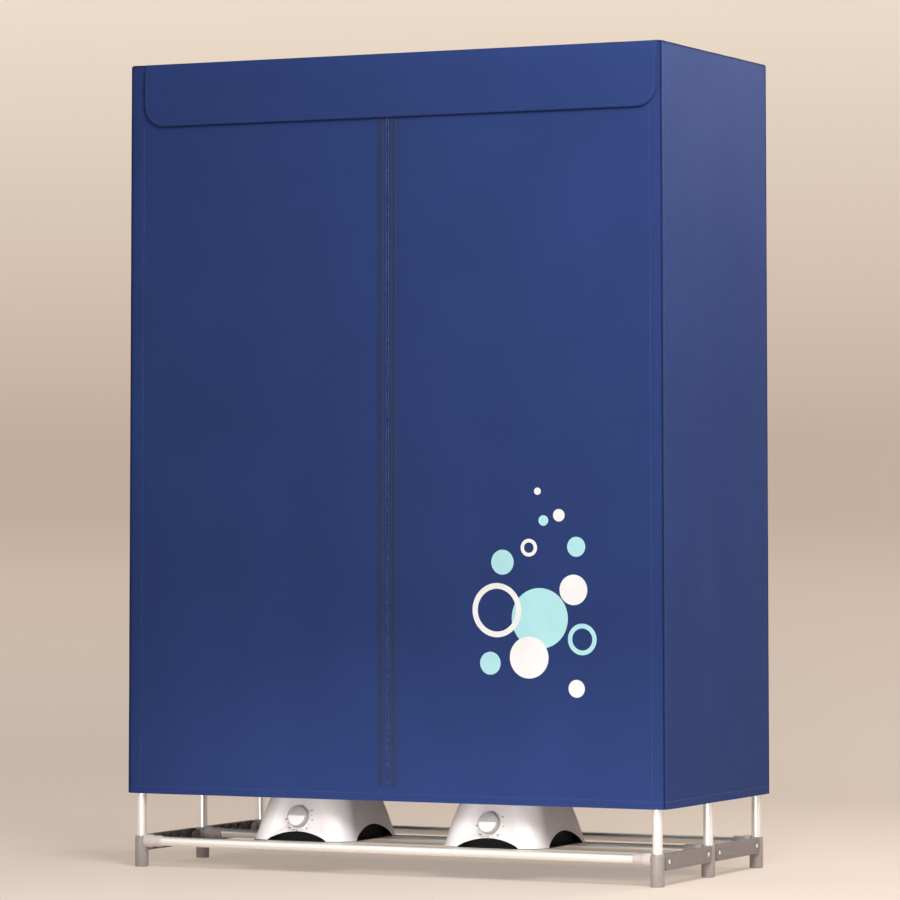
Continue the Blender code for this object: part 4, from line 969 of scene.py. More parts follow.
class DRYER_OT_stage(Operator):
    """Camera, floor, backdrop, lamps and the world's light"""
    bl_idname = "dryer.stage"
    bl_label = "Stage"

    def execute(self, context):
        scene = context.scene
        sizes = scene.dryer_stage
        scene.view_settings.view_transform = "Standard"
        data = bpy.data.cameras.new("camera")
        data.lens = sizes.lens
        data.sensor_width = 36
        data.clip_end = 100
        camera = linked("camera", data)
        camera.location = CAMERA_PLACE
        camera.rotation_euler = CAMERA_TURN
        scene.camera = camera
        self.floor(sizes)
        for name, place, target, size, power in (
                ("key_lamp", (1.8, -2.0, 2.4), (0.1, 0.0, 0.8), 1.5, sizes.key_power),
                ("fill_lamp", (-3.1, -3.4, 1.9), (0.0, 0.0, 0.7), 2.6, sizes.fill_power),
                ("low_lamp", (0.3, -1.7, 0.12), (0.1, -0.25, 0.10), 1.3, sizes.low_power),
                ("side_lamp", (1.35, 0.0, 2.35), (0.58, 0.0, 1.25), 0.7, sizes.side_power),
                ("rim_lamp", (1.15, 1.38, 2.0), (0.58, 0.0, 1.45), 1.0, sizes.rim_power)):
            light = bpy.data.lights.new(name, "AREA")
            light.energy = power
            light.size = size
            if name == "low_lamp":
                light.shape = "RECTANGLE"
                light.size_y = LOW_LAMP_HEIGHT
                light.spread = LOW_LAMP_SPREAD
            lamp = linked(name, light)
            lamp.location = place
            lamp.visible_camera = False
            aim = Vector(target) - Vector(place)
            lamp.rotation_euler = aim.to_track_quat("-Z", "Y").to_euler()
        self.world(scene, sizes)
        return {"FINISHED"}

    def floor(self, sizes):
        """Floor that curves up into the backdrop, in one mesh."""
        profile = [(-7.0, 0.0), (FLOOR_EDGE, 0.0)]
        profile += [(FLOOR_EDGE + FLOOR_CURVE * sin(turn), FLOOR_CURVE - FLOOR_CURVE * cos(turn))
                    for turn in (step * pi / 24 for step in range(1, 13))]
        profile += [(FLOOR_EDGE + FLOOR_CURVE, 7.0)]
        mesh = bpy.data.meshes.new("floor")
        verts = [(x, y, z) for y, z in profile for x in (-FLOOR_HALF_WIDTH, FLOOR_HALF_WIDTH)]
        faces = [(2 * i, 2 * i + 1, 2 * i + 3, 2 * i + 2) for i in range(len(profile) - 1)]
        mesh.from_pydata(verts, [], faces)
        mesh.shade_smooth()
        material = bpy.data.materials.new("floor_paint")
        material.use_nodes = True
        tree = material.node_tree
        shader = tree.nodes["Principled BSDF"]
        place = tree.nodes.new("ShaderNodeTexCoord").outputs["Object"]
        cloudy = grains(tree, place, 1.6, 4.0)
        height = axes(tree, place)[2]
        # Pale floor, then the wall darker beside the dryer as painted shade, and paler above it as painted
        # light
        colour = mixed(tree, spread(tree, height, 0.0, 0.7), tuple(sizes.floor_colour),
                       tuple(sizes.shaded_wall_colour))
        colour = mixed(tree, spread(tree, height, 0.9, 2.2), colour, tuple(sizes.lit_upper_colour))
        tree.links.new(shaded(tree, colour, spread(tree, cloudy, 0.3, 0.7, 0.985, 1.015)),
                       shader.inputs["Base Color"])
        shader.inputs["Roughness"].default_value = 0.7
        shader.inputs["Specular IOR Level"].default_value = 0.2
        glow = tree.nodes.new("ShaderNodeEmission")
        tree.links.new(colour, glow.inputs["Color"])
        share = spread(tree, height, 0.0, 0.5, 0.40, 0.80)
        lit = self.blend(tree, times(tree, seen_directly(tree), share), shader.outputs[0], glow.outputs[0])
        behind = tree.nodes.new("ShaderNodeNewGeometry").outputs["Backfacing"]
        clear = tree.nodes.new("ShaderNodeBsdfTransparent").outputs[0]
        tree.links.new(self.blend(tree, behind, lit, clear), tree.nodes["Material Output"].inputs["Surface"])
        MATERIALS["floor"] = material
        linked("floor", mesh, "floor")

    def blend(self, tree, factor, first, second):
        """Mix of two shaders by a factor."""
        node = tree.nodes.new("ShaderNodeMixShader")
        for socket, term in zip(node.inputs, (factor, first, second)):
            tree.links.new(term, socket)
        return node.outputs[0]

    def world(self, scene, sizes):
        world = bpy.data.worlds.new("studio")
        scene.world = world
        world.use_nodes = True
        tree = world.node_tree
        shader = tree.nodes["Background"]
        feed(tree, shader.inputs["Color"], (0.93, 0.92, 0.92, 1))
        tree.links.new(spread(tree, seen_directly(tree), 0.0, 1.0, sizes.world_strength, 1.0),
                       shader.inputs["Strength"])


class DRYER_OT_cover(Operator):
    """Cloth panels of the cover: doors, sides, back, top, header and flap"""
    bl_idname = "dryer.cover"
    bl_label = "Cover panels"

    def execute(self, context):
        cloth = context.scene.dryer_cloth
        step = cloth.grid_step
        rows = between(HEM, DOOR_TOP + 0.0001, step, (HEM_LINE, ZIP_BOTTOM))
        for side, low, high in (("left", -DOOR_SEAM, ZIP - ZIP_GAP), ("right", ZIP + ZIP_GAP, DOOR_SEAM)):
            marks = [line for line in (*SIDE_LINES, ZIP - BAND_FAR, ZIP + BAND_FAR) if low < line < high]
            door = self.panel(f"door_{side}_cloth", between(low, high, step, marks), rows,
                              front_point, f"door_{side}", f"door_{side}")
        inset = 0.0017
        lines = between(FRONT + inset, BACK - inset, step, (FRONT + SEAM_IN, BACK - SEAM_IN))
        side_rows = between(HEM, SIDE_TOP, step, (HEM_LINE,))
        right = self.panel("cover_right_cloth", lines, side_rows, lambda u, v: side_point(1, u, v),
                           "dryer", "cover_right")
        left = self.panel("cover_left_cloth", [-line for line in reversed(lines)], side_rows,
                          lambda u, v: side_point(-1, -u, v), "dryer", "cover_left")
        back = self.panel("cover_back_cloth",
                          between(-HALF, HALF, step, (-HALF + SEAM_IN, 0.0, HALF - SEAM_IN)),
                          side_rows, lambda u, v: back_point(-u, v), "dryer", "cover_back")
        top = self.panel("cover_top_cloth", between(-HALF, HALF, step * 1.4),
                         between(FRONT, BACK, step * 1.4), top_point, "dryer", "cover_top")
        header = self.header(cloth, step)
        flap = self.panel("flap_cloth", [i / 150 for i in range(151)], self.flap_rows(), flap_point,
                          "flap", "cover_flap", across=1.113)
        return {"FINISHED"}

    def panel(self, name, columns, rows, point, body, node, across=1.0):
        cloth = bpy.context.scene.dryer_cloth
        piece = cloth_grid(name, columns, rows, point, cloth.thickness, "cloth")
        if across != 1.0:
            for item in piece.data.uv_layers[0].data:
                item.uv = (item.uv[0] * across, item.uv[1])
        return fixed(piece, body, "blue_cloth", node)

    def flap_rows(self):
        drop = CLOTH_TOP - FLAP_LOW.z
        rows = [drop * (i / 26) ** 1.5 for i in range(27)]
        close = [FLAP_STITCH + offset for offset in (-0.0028, -0.0014, 0, 0.0014, 0.0028)]
        return sorted([r for r in rows if all(abs(r - c) > 0.001 for c in close)] + close)

    def header(self, cloth, step):
        """Fixed strip behind the flap, slit for the top end of the zip."""
        halves = []
        rows = between(HEADER_LOW - 0.0001, SIDE_TOP, step)
        for low, high in ((-HALF, ZIP), (ZIP, HALF)):
            def point(u, v):
                slit = DOOR_GAP if v < ZIP_TOP else 0.0
                if abs(u - ZIP) < 1e-6:
                    u = ZIP - slit if high == ZIP else ZIP + slit
                return front_point(u, v)
            halves.append(cloth_grid("header_half", between(low, high, step), rows, point,
                                     cloth.thickness, "cloth"))
        return fixed(merged("cover_header_cloth", halves), "dryer", "blue_cloth", "cover_header")


class DRYER_OT_zip(Operator):
    """Zip between the doors: sewn bands, coil teeth and slider"""
    bl_idname = "dryer.zip"
    bl_label = "Zip"

    def execute(self, context):
        cloth = context.scene.dryer_cloth
        for body, side, low, high in (("door_left", -1, ZIP_BOTTOM, DOOR_TOP),
                                      ("door_right", 1, ZIP_BOTTOM, DOOR_TOP),
                                      ("dryer", -1, HEADER_LOW, ZIP_TOP), ("dryer", 1, HEADER_LOW, ZIP_TOP)):
            tag = body if body != "dryer" else ("header_left" if side < 0 else "header_right")
            self.band(tag, body, side, low, high, cloth)
            self.teeth(tag, body, side, low, high)
        self.slider()
        return {"FINISHED"}

    def band(self, tag, body, side, low, high, cloth):
        near, far = ZIP + side * BAND_NEAR, ZIP + side * BAND_FAR
        columns = between(min(near, far), max(near, far), 0.0024)
        rows = between(low, high, cloth.grid_step)

        def point(u, v):
            edge = min(abs(u - near), abs(u - far))
            return front_point(u, v, 0.0009 * fade(edge + 0.0008, 0.003) + 0.0002)
        band = cloth_grid(f"zip_band_{tag}", columns, rows, point, 0.0010, "band")
        fixed(band, body, "blue_cloth")
        runs = [run_of(lambda z: front_point(ZIP + side * place, z, 0.0011), low + 0.002, high - 0.002)
                for place in (BAND_NEAR + 0.0020, BAND_FAR - 0.0020)]
        stitched(f"zip_band_stitches_{tag}", runs, body)

    def teeth(self, tag, body, side, low, high):
        middle = ZIP + side * 0.0019
        path = path_object(f"zip_teeth_{tag}", [[Vector((middle, FRONT - 0.0004, low)),
                                                  Vector((middle, FRONT - 0.0004, high))]])
        piece = grown(path, tree_named("teeth", teeth_tree), "teeth", Pitch=0.0026, Width=0.0034,
                      Height=0.0019, Depth=0.0024)
        fixed(piece, body, "blue_cloth")

    def slider(self):
        """Body with raised back, bridge and pull with its eye."""
        low, high = SLIDER_LOW, SLIDER_HIGH
        middle = (low.x + high.x) / 2
        front = FRONT - 0.0018
        outline = [(0.0060, 0.0075), (0.0046, -0.0005), (0.0040, -0.0085), (-0.0040, -0.0085),
                   (-0.0046, -0.0005), (-0.0060, 0.0075), (-0.0045, 0.0090), (-0.0012, 0.0090),
                   (0.0, 0.0070), (0.0012, 0.0090), (0.0045, 0.0090)]
        height = high.z - 0.009
        neck = [(0.00015, 0.0075), (0.00015, 0.001), (-0.00015, 0.001), (-0.00015, 0.0075)]
        pull = rounded_rectangle(0.0034, 0.0095, 0.0022, 5)
        eye = [(x, y + 0.0062) for x, y in rounded_rectangle(0.0018, 0.0020, 0.0009, 4)]
        parts = [slab(f"slider_{name}", points, thickness, "slider",
                      Matrix.Translation((middle, depth, place)) @ UPRIGHT, holes, edge)
                 for name, points, thickness, depth, place, holes, edge in (
                     ("wing", outline, 0.0014, front - 0.0007, height, (), 0.0003),
                     ("wing", outline, 0.0014, FRONT + 0.0045, height, (), 0.0003),
                     ("neck", neck, 0.0064, FRONT + 0.0011, height, (), 0.00005),
                     ("pull", pull, 0.0011, front - 0.0021, height - 0.0055, (eye,), 0.0003))]
        bridge = [Vector((middle, front - 0.0014 - 0.0012 * sin(pi * i / 12),
                          height + 0.006 - 0.010 * i / 12)) for i in range(13)]
        parts.append(tube_along("slider_bridge", bridge, 0.0008, "slider", 8))
        fixed(merged("zip_slider_body", parts), "zip_slider", "zip_slider", "zip_slider")


class DRYER_OT_sewing(Operator):
    """Piping along the cover's corners, the flap's edge and all rows of stitches"""
    bl_idname = "dryer.sewing"
    bl_label = "Piping and stitches"

    def execute(self, context):
        self.piping()
        self.flap_edge()
        for side, sign, line in zip(SIDES, (-1, 1), SIDE_LINES):
            near, far = ZIP + sign * 0.0028, sign * (DOOR_SEAM - 0.004)
            runs = [run_of(lambda z: front_point(line, z, THREAD_LIFT), HEM_LINE, DOOR_TOP - 0.002),
                    run_of(lambda x: front_point(x, HEM_LINE, THREAD_LIFT), near, far)]
            stitched(f"door_{side}_stitches", runs, f"door_{side}")
        runs = []
        upright = (HEM + 0.002, SIDE_TOP - RUN_END)
        for sign in (-1, 1):
            runs.append(run_of(lambda y: side_point(sign, y, HEM_LINE, THREAD_LIFT), FRONT + RUN_END,
                               BACK - RUN_END))
            runs += [run_of(lambda z: side_point(sign, line, z, THREAD_LIFT), *upright, TALL_STEP)
                     for line in (FRONT + SEAM_IN, BACK - SEAM_IN)]
        runs.append(run_of(lambda x: back_point(x, HEM_LINE, THREAD_LIFT), -HALF + RUN_END, HALF - RUN_END))
        stitched("cover_side_stitches", runs, "dryer", COVER_PITCH)
        runs = [run_of(lambda z: back_point(line, z, THREAD_LIFT), *upright, TALL_STEP)
                for line in (-HALF + SEAM_IN, 0.0, HALF - SEAM_IN)]
        across = (-HALF + TOP_SEAM_IN, HALF - TOP_SEAM_IN)
        along = (FRONT + TOP_SEAM_IN, BACK - TOP_SEAM_IN)
        runs += [run_of(lambda x: top_point(x, line, 2 * THREAD_LIFT), *across) for line in along]
        runs += [run_of(lambda y: top_point(line, y, 2 * THREAD_LIFT), *along) for line in across]
        stitched("cover_back_stitches", runs, "dryer", COVER_PITCH)
        return {"FINISHED"}

    def piping(self):
        """Rolled seams: one round the top, one down each corner."""
        # The piping's dark colour is painted shade along the cover's edges and corners.
        corner = 0.006
        radius = 0.0017
        ring = rounded_rectangle(HALF * flare(CLOTH_TOP) - radius / 2, (BACK - FRONT) / 2 - radius / 2,
                                 corner)
        middle = (BACK + FRONT) / 2
        points = []
        for (x, y), (next_x, next_y) in zip(ring, ring[1:] + ring[:1]):
            reach = sqrt((next_x - x) ** 2 + (next_y - y) ** 2)
            steps = max(1, round(reach / 0.02))
            for i in range(steps):
                share = i / steps
                px, py = x + (next_x - x) * share, y + (next_y - y) * share
                wander = 0.0005 * noise.noise(Vector((px * 20, py * 20, 4)))
                points.append(Vector((px, py + middle, CLOTH_TOP - radius + wander)))
        pieces = [tube_along("top_piping", points, radius, "piping", 12, closed=True)]
        for sign in (-1, 1):
            for line, shift in ((FRONT, 1), (BACK, -1)):
                run = []
                for i in range(161):
                    z = HEM + 0.001 + (CLOTH_TOP - 0.004 - HEM) * i / 160
                    wander = 0.0004 * noise.noise(Vector((sign * 3, line * 9, z * 14)))
                    run.append(Vector((sign * (HALF * flare(z) - 0.0009), line + shift * 0.0007 + wander, z)))
                pieces.append(tube_along("shaded_corner_piping", run, 0.0015, "piping", 12))
        fixed(merged("cover_piping", pieces), "dryer", "blue_cloth")

    def flap_edge(self):
        drop = CLOTH_TOP - FLAP_LOW.z
        heights = [drop * (1 - i / 24) for i in range(18)]
        heights += [FLAP_CORNER * (1 - sin(i * pi / 2 / 14)) for i in range(1, 15)]
        heights = sorted(set(heights), reverse=True)
        left = [flap_point(0, rise, 0.0002) for rise in heights]
        base = run_of(lambda share: flap_point(share, 0.0, 0.0002), 0.004, 0.996, 0.006)
        right = [flap_point(1, rise, 0.0002) for rise in reversed(heights)]
        edge = left + base + right
        binding = tube_along("flap_binding", edge, 0.0007, "cloth", 8)
        fixed(binding, "flap", "blue_cloth")
        inner = []
        for i, point in enumerate(edge):
            before, after = edge[max(0, i - 2)], edge[min(len(edge) - 1, i + 2)]
            along = (after - before).normalized()
            inward = Vector((-along.z, 0, along.x))
            inner.append(point + inward * FLAP_STITCH + Vector((0, -0.0004, 0)))
        stitched("flap_stitches", [inner], "flap", thickness=0.0008)


class DRYER_OT_print(Operator):
    """Printed bubbles low on the right door: discs and rings that rise and get smaller"""
    bl_idname = "dryer.print"
    bl_label = "Printed bubbles"

    def execute(self, context):
        white = [(0.300, 0.430, 0.040, 0.0), (0.398, 0.372, 0.017, 0.0), (0.232, 0.520, 0.052, 0.041),
                 (0.392, 0.560, 0.029, 0.0), (0.300, 0.640, 0.017, 0.010), (0.362, 0.702, 0.012, 0.0),
                 (0.318, 0.748, 0.007, 0.0)]
        aqua = [(0.322, 0.505, 0.058, 0.0), (0.218, 0.418, 0.022, 0.0), (0.410, 0.466, 0.030, 0.021),
                (0.244, 0.612, 0.024, 0.0), (0.398, 0.642, 0.019, 0.0), (0.330, 0.692, 0.010, 0.0)]
        self.layer("print_white", white, "white_ink", 0.00040)
        self.layer("print_aqua", aqua, "aqua_ink", 0.00030)
        return {"FINISHED"}

    def layer(self, name, bubbles, finish, lift):
        """Thin film on the door's surface; a hole of no radius is a full disc."""
        bm = bmesh.new()
        for x, z, outer, inner in bubbles:
            steps = max(2, round((outer - inner) / 0.004))
            skinned(bm, [circle(outer + (inner - outer) * step / steps, 72,
                                lambda right, up: front_point(x + right, z + up, lift))
                         for step in range(steps + 1)])
        film = walled(linked(name, mesh_from(bm, name), finish), FILM_THICKNESS, 1)
        fixed(smoothed(film), "door_right", "blue_cloth")


class DRYER_OT_tubes(Operator):
    """Bright steel posts and rails"""
    bl_idname = "dryer.tubes"
    bl_label = "Posts and rails"

    def execute(self, context):
        sides = context.scene.dryer_frame.tube_sides
        for node in sorted(frame["nodes"]):
            kind = node.split("_")[0]
            if kind not in ("post", "rail"):
                continue
            low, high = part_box(node)
            middle = (low + high) / 2
            upright = kind == "post"
            axis = 2 if upright else 0
            length = high[axis] - low[axis]
            radius = (high.y - low.y) / 2
            place = Matrix.Translation((middle.x, middle.y, low.z) if upright
                                       else (low.x, middle.y, middle.z))
            if not upright:
                place = place @ Matrix.Rotation(pi / 2, 4, "Y")
            wall, ease = 0.0008, 0.0003
            inner = radius - wall
            profile = [(inner, 0.0), (radius - ease, 0.0), (radius, ease), (radius, length - ease),
                       (radius - ease, length), (inner, length)]
            piece = turned(f"{node}_tube", profile, kind, sides, place, closed=True)
            fixed(piece, "dryer", "stainless_tube", node)
        return {"FINISHED"}


class DRYER_OT_mouldings(Operator):
    """Feet and top corners: post socket, stepped rail sleeve, ears and rivets"""
    bl_idname = "dryer.mouldings"
    bl_label = "Feet and corners"

    def execute(self, context):
        for kind in ("foot", "top_corner"):
            for row in ("front", "mid", "rear"):
                for side in SIDES:
                    self.connector(f"{kind}_{row}_{side}", row, side)
        return {"FINISHED"}

    def connector(self, node, row, side):
        low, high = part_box(node)
        post_low, post_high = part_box(f"post_{row}_{side}")
        axis = (post_low + post_high) / 2
        up = 1 if node.startswith("foot") else -1
        base = low.z if up > 0 else high.z
        inward = -1 if side == "right" else 1
        # The rail sleeve takes a lighter copy of the moulding colour: painted light
        grey, pale = "moulding", "sleeve"
        radius = CONNECTOR_RADIUS
        height = CONNECTOR_HEIGHT
        socket = 0.0099
        place = Matrix.Translation((axis.x, axis.y, base))
        if up < 0:
            place = place @ Matrix.Rotation(pi, 4, "X")
        parts = [turned("socket", [
            (0, 0), (radius - 0.0022, 0), (radius - 0.0006, 0.0005), (radius, 0.0020),
            (radius, height - 0.0030), (radius - 0.0005, height - 0.0010), (radius - 0.0016, height),
            (socket, height), (socket, 0.012), (0, 0.012)], grey, 44, place)]
        to_rail = Matrix.Translation((axis.x, axis.y, base + up * RAIL_HEIGHT))
        to_rail = to_rail @ Matrix.Rotation(inward * pi / 2, 4, "Y")
        bore = 0.0092
        parts.append(turned("sleeve", [
            (0.0100, 0.0100), (SLEEVE_RADIUS, 0.0100), (SLEEVE_RADIUS, SLEEVE_STEP - 0.0014),
            (SLEEVE_RADIUS - 0.0006, SLEEVE_STEP), (COLLAR_RADIUS + 0.0006, SLEEVE_STEP + 0.0002),
            (COLLAR_RADIUS, SLEEVE_STEP + 0.0012), (COLLAR_RADIUS, SLEEVE_REACH - 0.0018),
            (COLLAR_RADIUS - 0.0007, SLEEVE_REACH - 0.0004), (COLLAR_RADIUS - 0.0014, SLEEVE_REACH),
            (bore, SLEEVE_REACH), (bore, 0.0130), (0.0100, 0.0130)], pale, 40, to_rail, closed=True))
        for ring in (0.0175, 0.0215):
            parts.append(turned("sleeve_bead", [
                (SLEEVE_RADIUS - 0.0010, ring - 0.0010), (SLEEVE_RADIUS + 0.0002, ring - 0.0008),
                (SLEEVE_RADIUS + 0.0002, ring + 0.0008), (SLEEVE_RADIUS - 0.0010, ring + 0.0010)],
                pale, 40, to_rail, closed=True))
        pieces = [merged("connector", parts)]
        directions = {"front": (1,), "mid": (-1, 1), "rear": (-1,)}[row]
        outward = -inward
        for direction in directions:
            pieces.append(self.ear(axis, base, up, outward, direction, grey))
            pieces.append(self.rivet(axis, base, up, outward, direction))
        fixed(merged(f"{node}_moulding", pieces), "dryer", "grey_moulding", node)

    def ear(self, axis, base, up, outward, direction, grey):
        end = arc((PIVOT_REACH, 0), EAR_HALF, -pi / 2, pi / 2, 12)
        outline = [(0.004, -EAR_HALF), *end, (0.004, EAR_HALF)]
        if direction * outward * up < 0:
            outline = [(-y, z) for y, z in reversed(outline)]
        turn = Matrix.Identity(4)
        if outward < 0:
            turn = Matrix.Rotation(pi, 4, "Z")
        if up < 0:
            turn = turn @ Matrix.Rotation(pi, 4, "X")
        place = Matrix.Translation((axis.x + outward * 0.00275, axis.y, base + up * PIVOT_HEIGHT))
        return slab("ear", outline, 0.0045, grey, place @ turn @ SIDEWAYS, edge=0.0006)

    def rivet(self, axis, base, up, outward, direction):
        """Domed head in a dark ring, outside the side arm; the ring's dark colour is painted shade round the
        head.
        """
        face = ARM_NEAR + ARM_THICKNESS
        place = Matrix.Translation((axis.x, axis.y + direction * PIVOT_REACH, base + up * PIVOT_HEIGHT))
        place = place @ Matrix.Rotation(outward * pi / 2, 4, "Y")
        dome = [(0, face + 0.0016)]
        dome += [(0.0046 * sin(i * pi / 16), face + 0.0002 + 0.0014 * cos(i * pi / 16)) for i in range(1, 8)]
        dome += [(0.0048, face + 0.0001), (0.0026, face), (0.0026, 0.0040), (0, 0.0040)]
        head = turned("rivet_head", dome, "rivet", 24, place)
        # Dark ring: painted shade round the rivet's dome
        ring = turned("rivet_shade_ring", [(0.0050, face - 0.0002), (0.0050, face + 0.0003),
                                     (0.0064, face + 0.0003), (0.0066, face - 0.0002)],
                      "dark", 24, place, closed=True)
        return merged("rivet", [head, ring])


class DRYER_OT_arms(Operator):
    """Side arms: channels with a rim and cross ribs on their inner face"""
    bl_idname = "dryer.arms"
    bl_label = "Side arms"

    def execute(self, context):
        for node in sorted(frame["nodes"]):
            if node.startswith("side_arm"):
                self.arm(node)
        return {"FINISHED"}

    def arm(self, node):
        low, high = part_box(node)
        middle = (low + high) / 2
        outward = 1 if middle.x > 0 else -1
        half = (high.y - low.y) / 2
        upright = (high.z - low.z) / 2
        depth = high.x - low.x
        outline = rounded_rectangle(half, upright, 0.0075, 6)
        inner = rounded_rectangle(half - 0.0026, upright - 0.0026, 0.0050, 6)
        web, boss, bars = 0.0020, 0.0085, 5
        reach = half + ARM_CLEARANCE - PIVOT_REACH
        groove = rounded_rectangle(half - 0.020, upright - 0.0060, 0.0030, 5)
        groove_inner = rounded_rectangle(half - 0.0212, upright - 0.0072, 0.0022, 5)
        layers = [("web", outline, web, depth / 2 - web / 2, (), 0.0006),
                  ("rim", outline, depth - 0.0008, -0.0004, (inner,), 0.0005)]
        layers += [("boss", arc((end * reach, 0), boss, 0, 2 * pi, 20)[:-1], depth - 0.0008, -0.0004, (),
                    0.0005) for end in (-1, 1)]
        start, end = boss - reach, reach - boss
        for i in range(bars):
            left, right = (start + (end - start) * share / bars for share in (i, i + 1))
            for lean in (-1, 1):
                tall = (upright - 0.0022) * lean
                rib = [(left, -tall - 0.0008), (left, -tall + 0.0008), (right, tall + 0.0008),
                       (right, tall - 0.0008)]
                layers.append(("rib", rib, depth - 0.0022, -0.0006, (), 0.0002))
        layers.append(("bead", groove, 0.0009, depth / 2 - 0.0002, (groove_inner,), 0.0003))
        parts = [slab(name, points, thickness, "arm",
                      Matrix.Translation((middle.x + outward * shift, middle.y, middle.z)) @ SIDEWAYS,
                      holes, edge) for name, points, thickness, shift, holes, edge in layers]
        fixed(merged(f"{node}_moulding", parts), "dryer", "grey_moulding", node)


def inset_at(height, skirt=SKIRT_REACH):
    """How far the housing's wall has come in at a height, as in its solid."""
    lean = LEAN_SHARE * height + height ** 2 / (2 * CURVE_RADIUS)
    return lean + LIP_REACH + skirt


def skirt_fade(side, along):
    """1 in the middle of the front and back, 0 at the corners and on the sides."""
    return 1 - abs(along) ** SKIRT_FADE_SHARE if side % 2 == 0 else 0.0


def skirt_inset(side, along, rise, height):
    """The flared skirt under its crease, cut through in front by the dial's round pad."""
    band = SKIRT_END + SKIRT_BOW * skirt_fade(side, along)
    passed = min(1, rise / band) ** 1.6
    if side == 0:
        spot = along * (HALF_WIDTH - CORNER)
        from_dial = sqrt((spot - TIMER_SHIFT) ** 2 + (height - TIMER_HEIGHT) ** 2)
        on_pad = fade(DIAL_PAD_RADIUS + 0.0008 - from_dial, 0.0016) * fade(rise - 0.0010, 0.0022)
        passed += (1 - passed) * on_pad
    return SKIRT_REACH * skirt_fade(side, along) * passed


def housing_point(side, along, turn, inset):
    """Point on the housing's outline: along a side from -1 to 1, then round its corner from 0 to 1."""
    half_x = HALF_WIDTH - inset - CORNER
    half_y = HALF_DEPTH - inset - CORNER
    angle = side * pi / 2 - pi / 2
    run, reach = (half_x, half_y) if side % 2 == 0 else (half_y, half_x)
    swing = angle + turn * pi / 2
    forward = Vector((cos(angle), sin(angle)))
    along_side = Vector((-sin(angle), cos(angle)))
    return forward * reach + along_side * (along * run) + CORNER * Vector((cos(swing), sin(swing)))


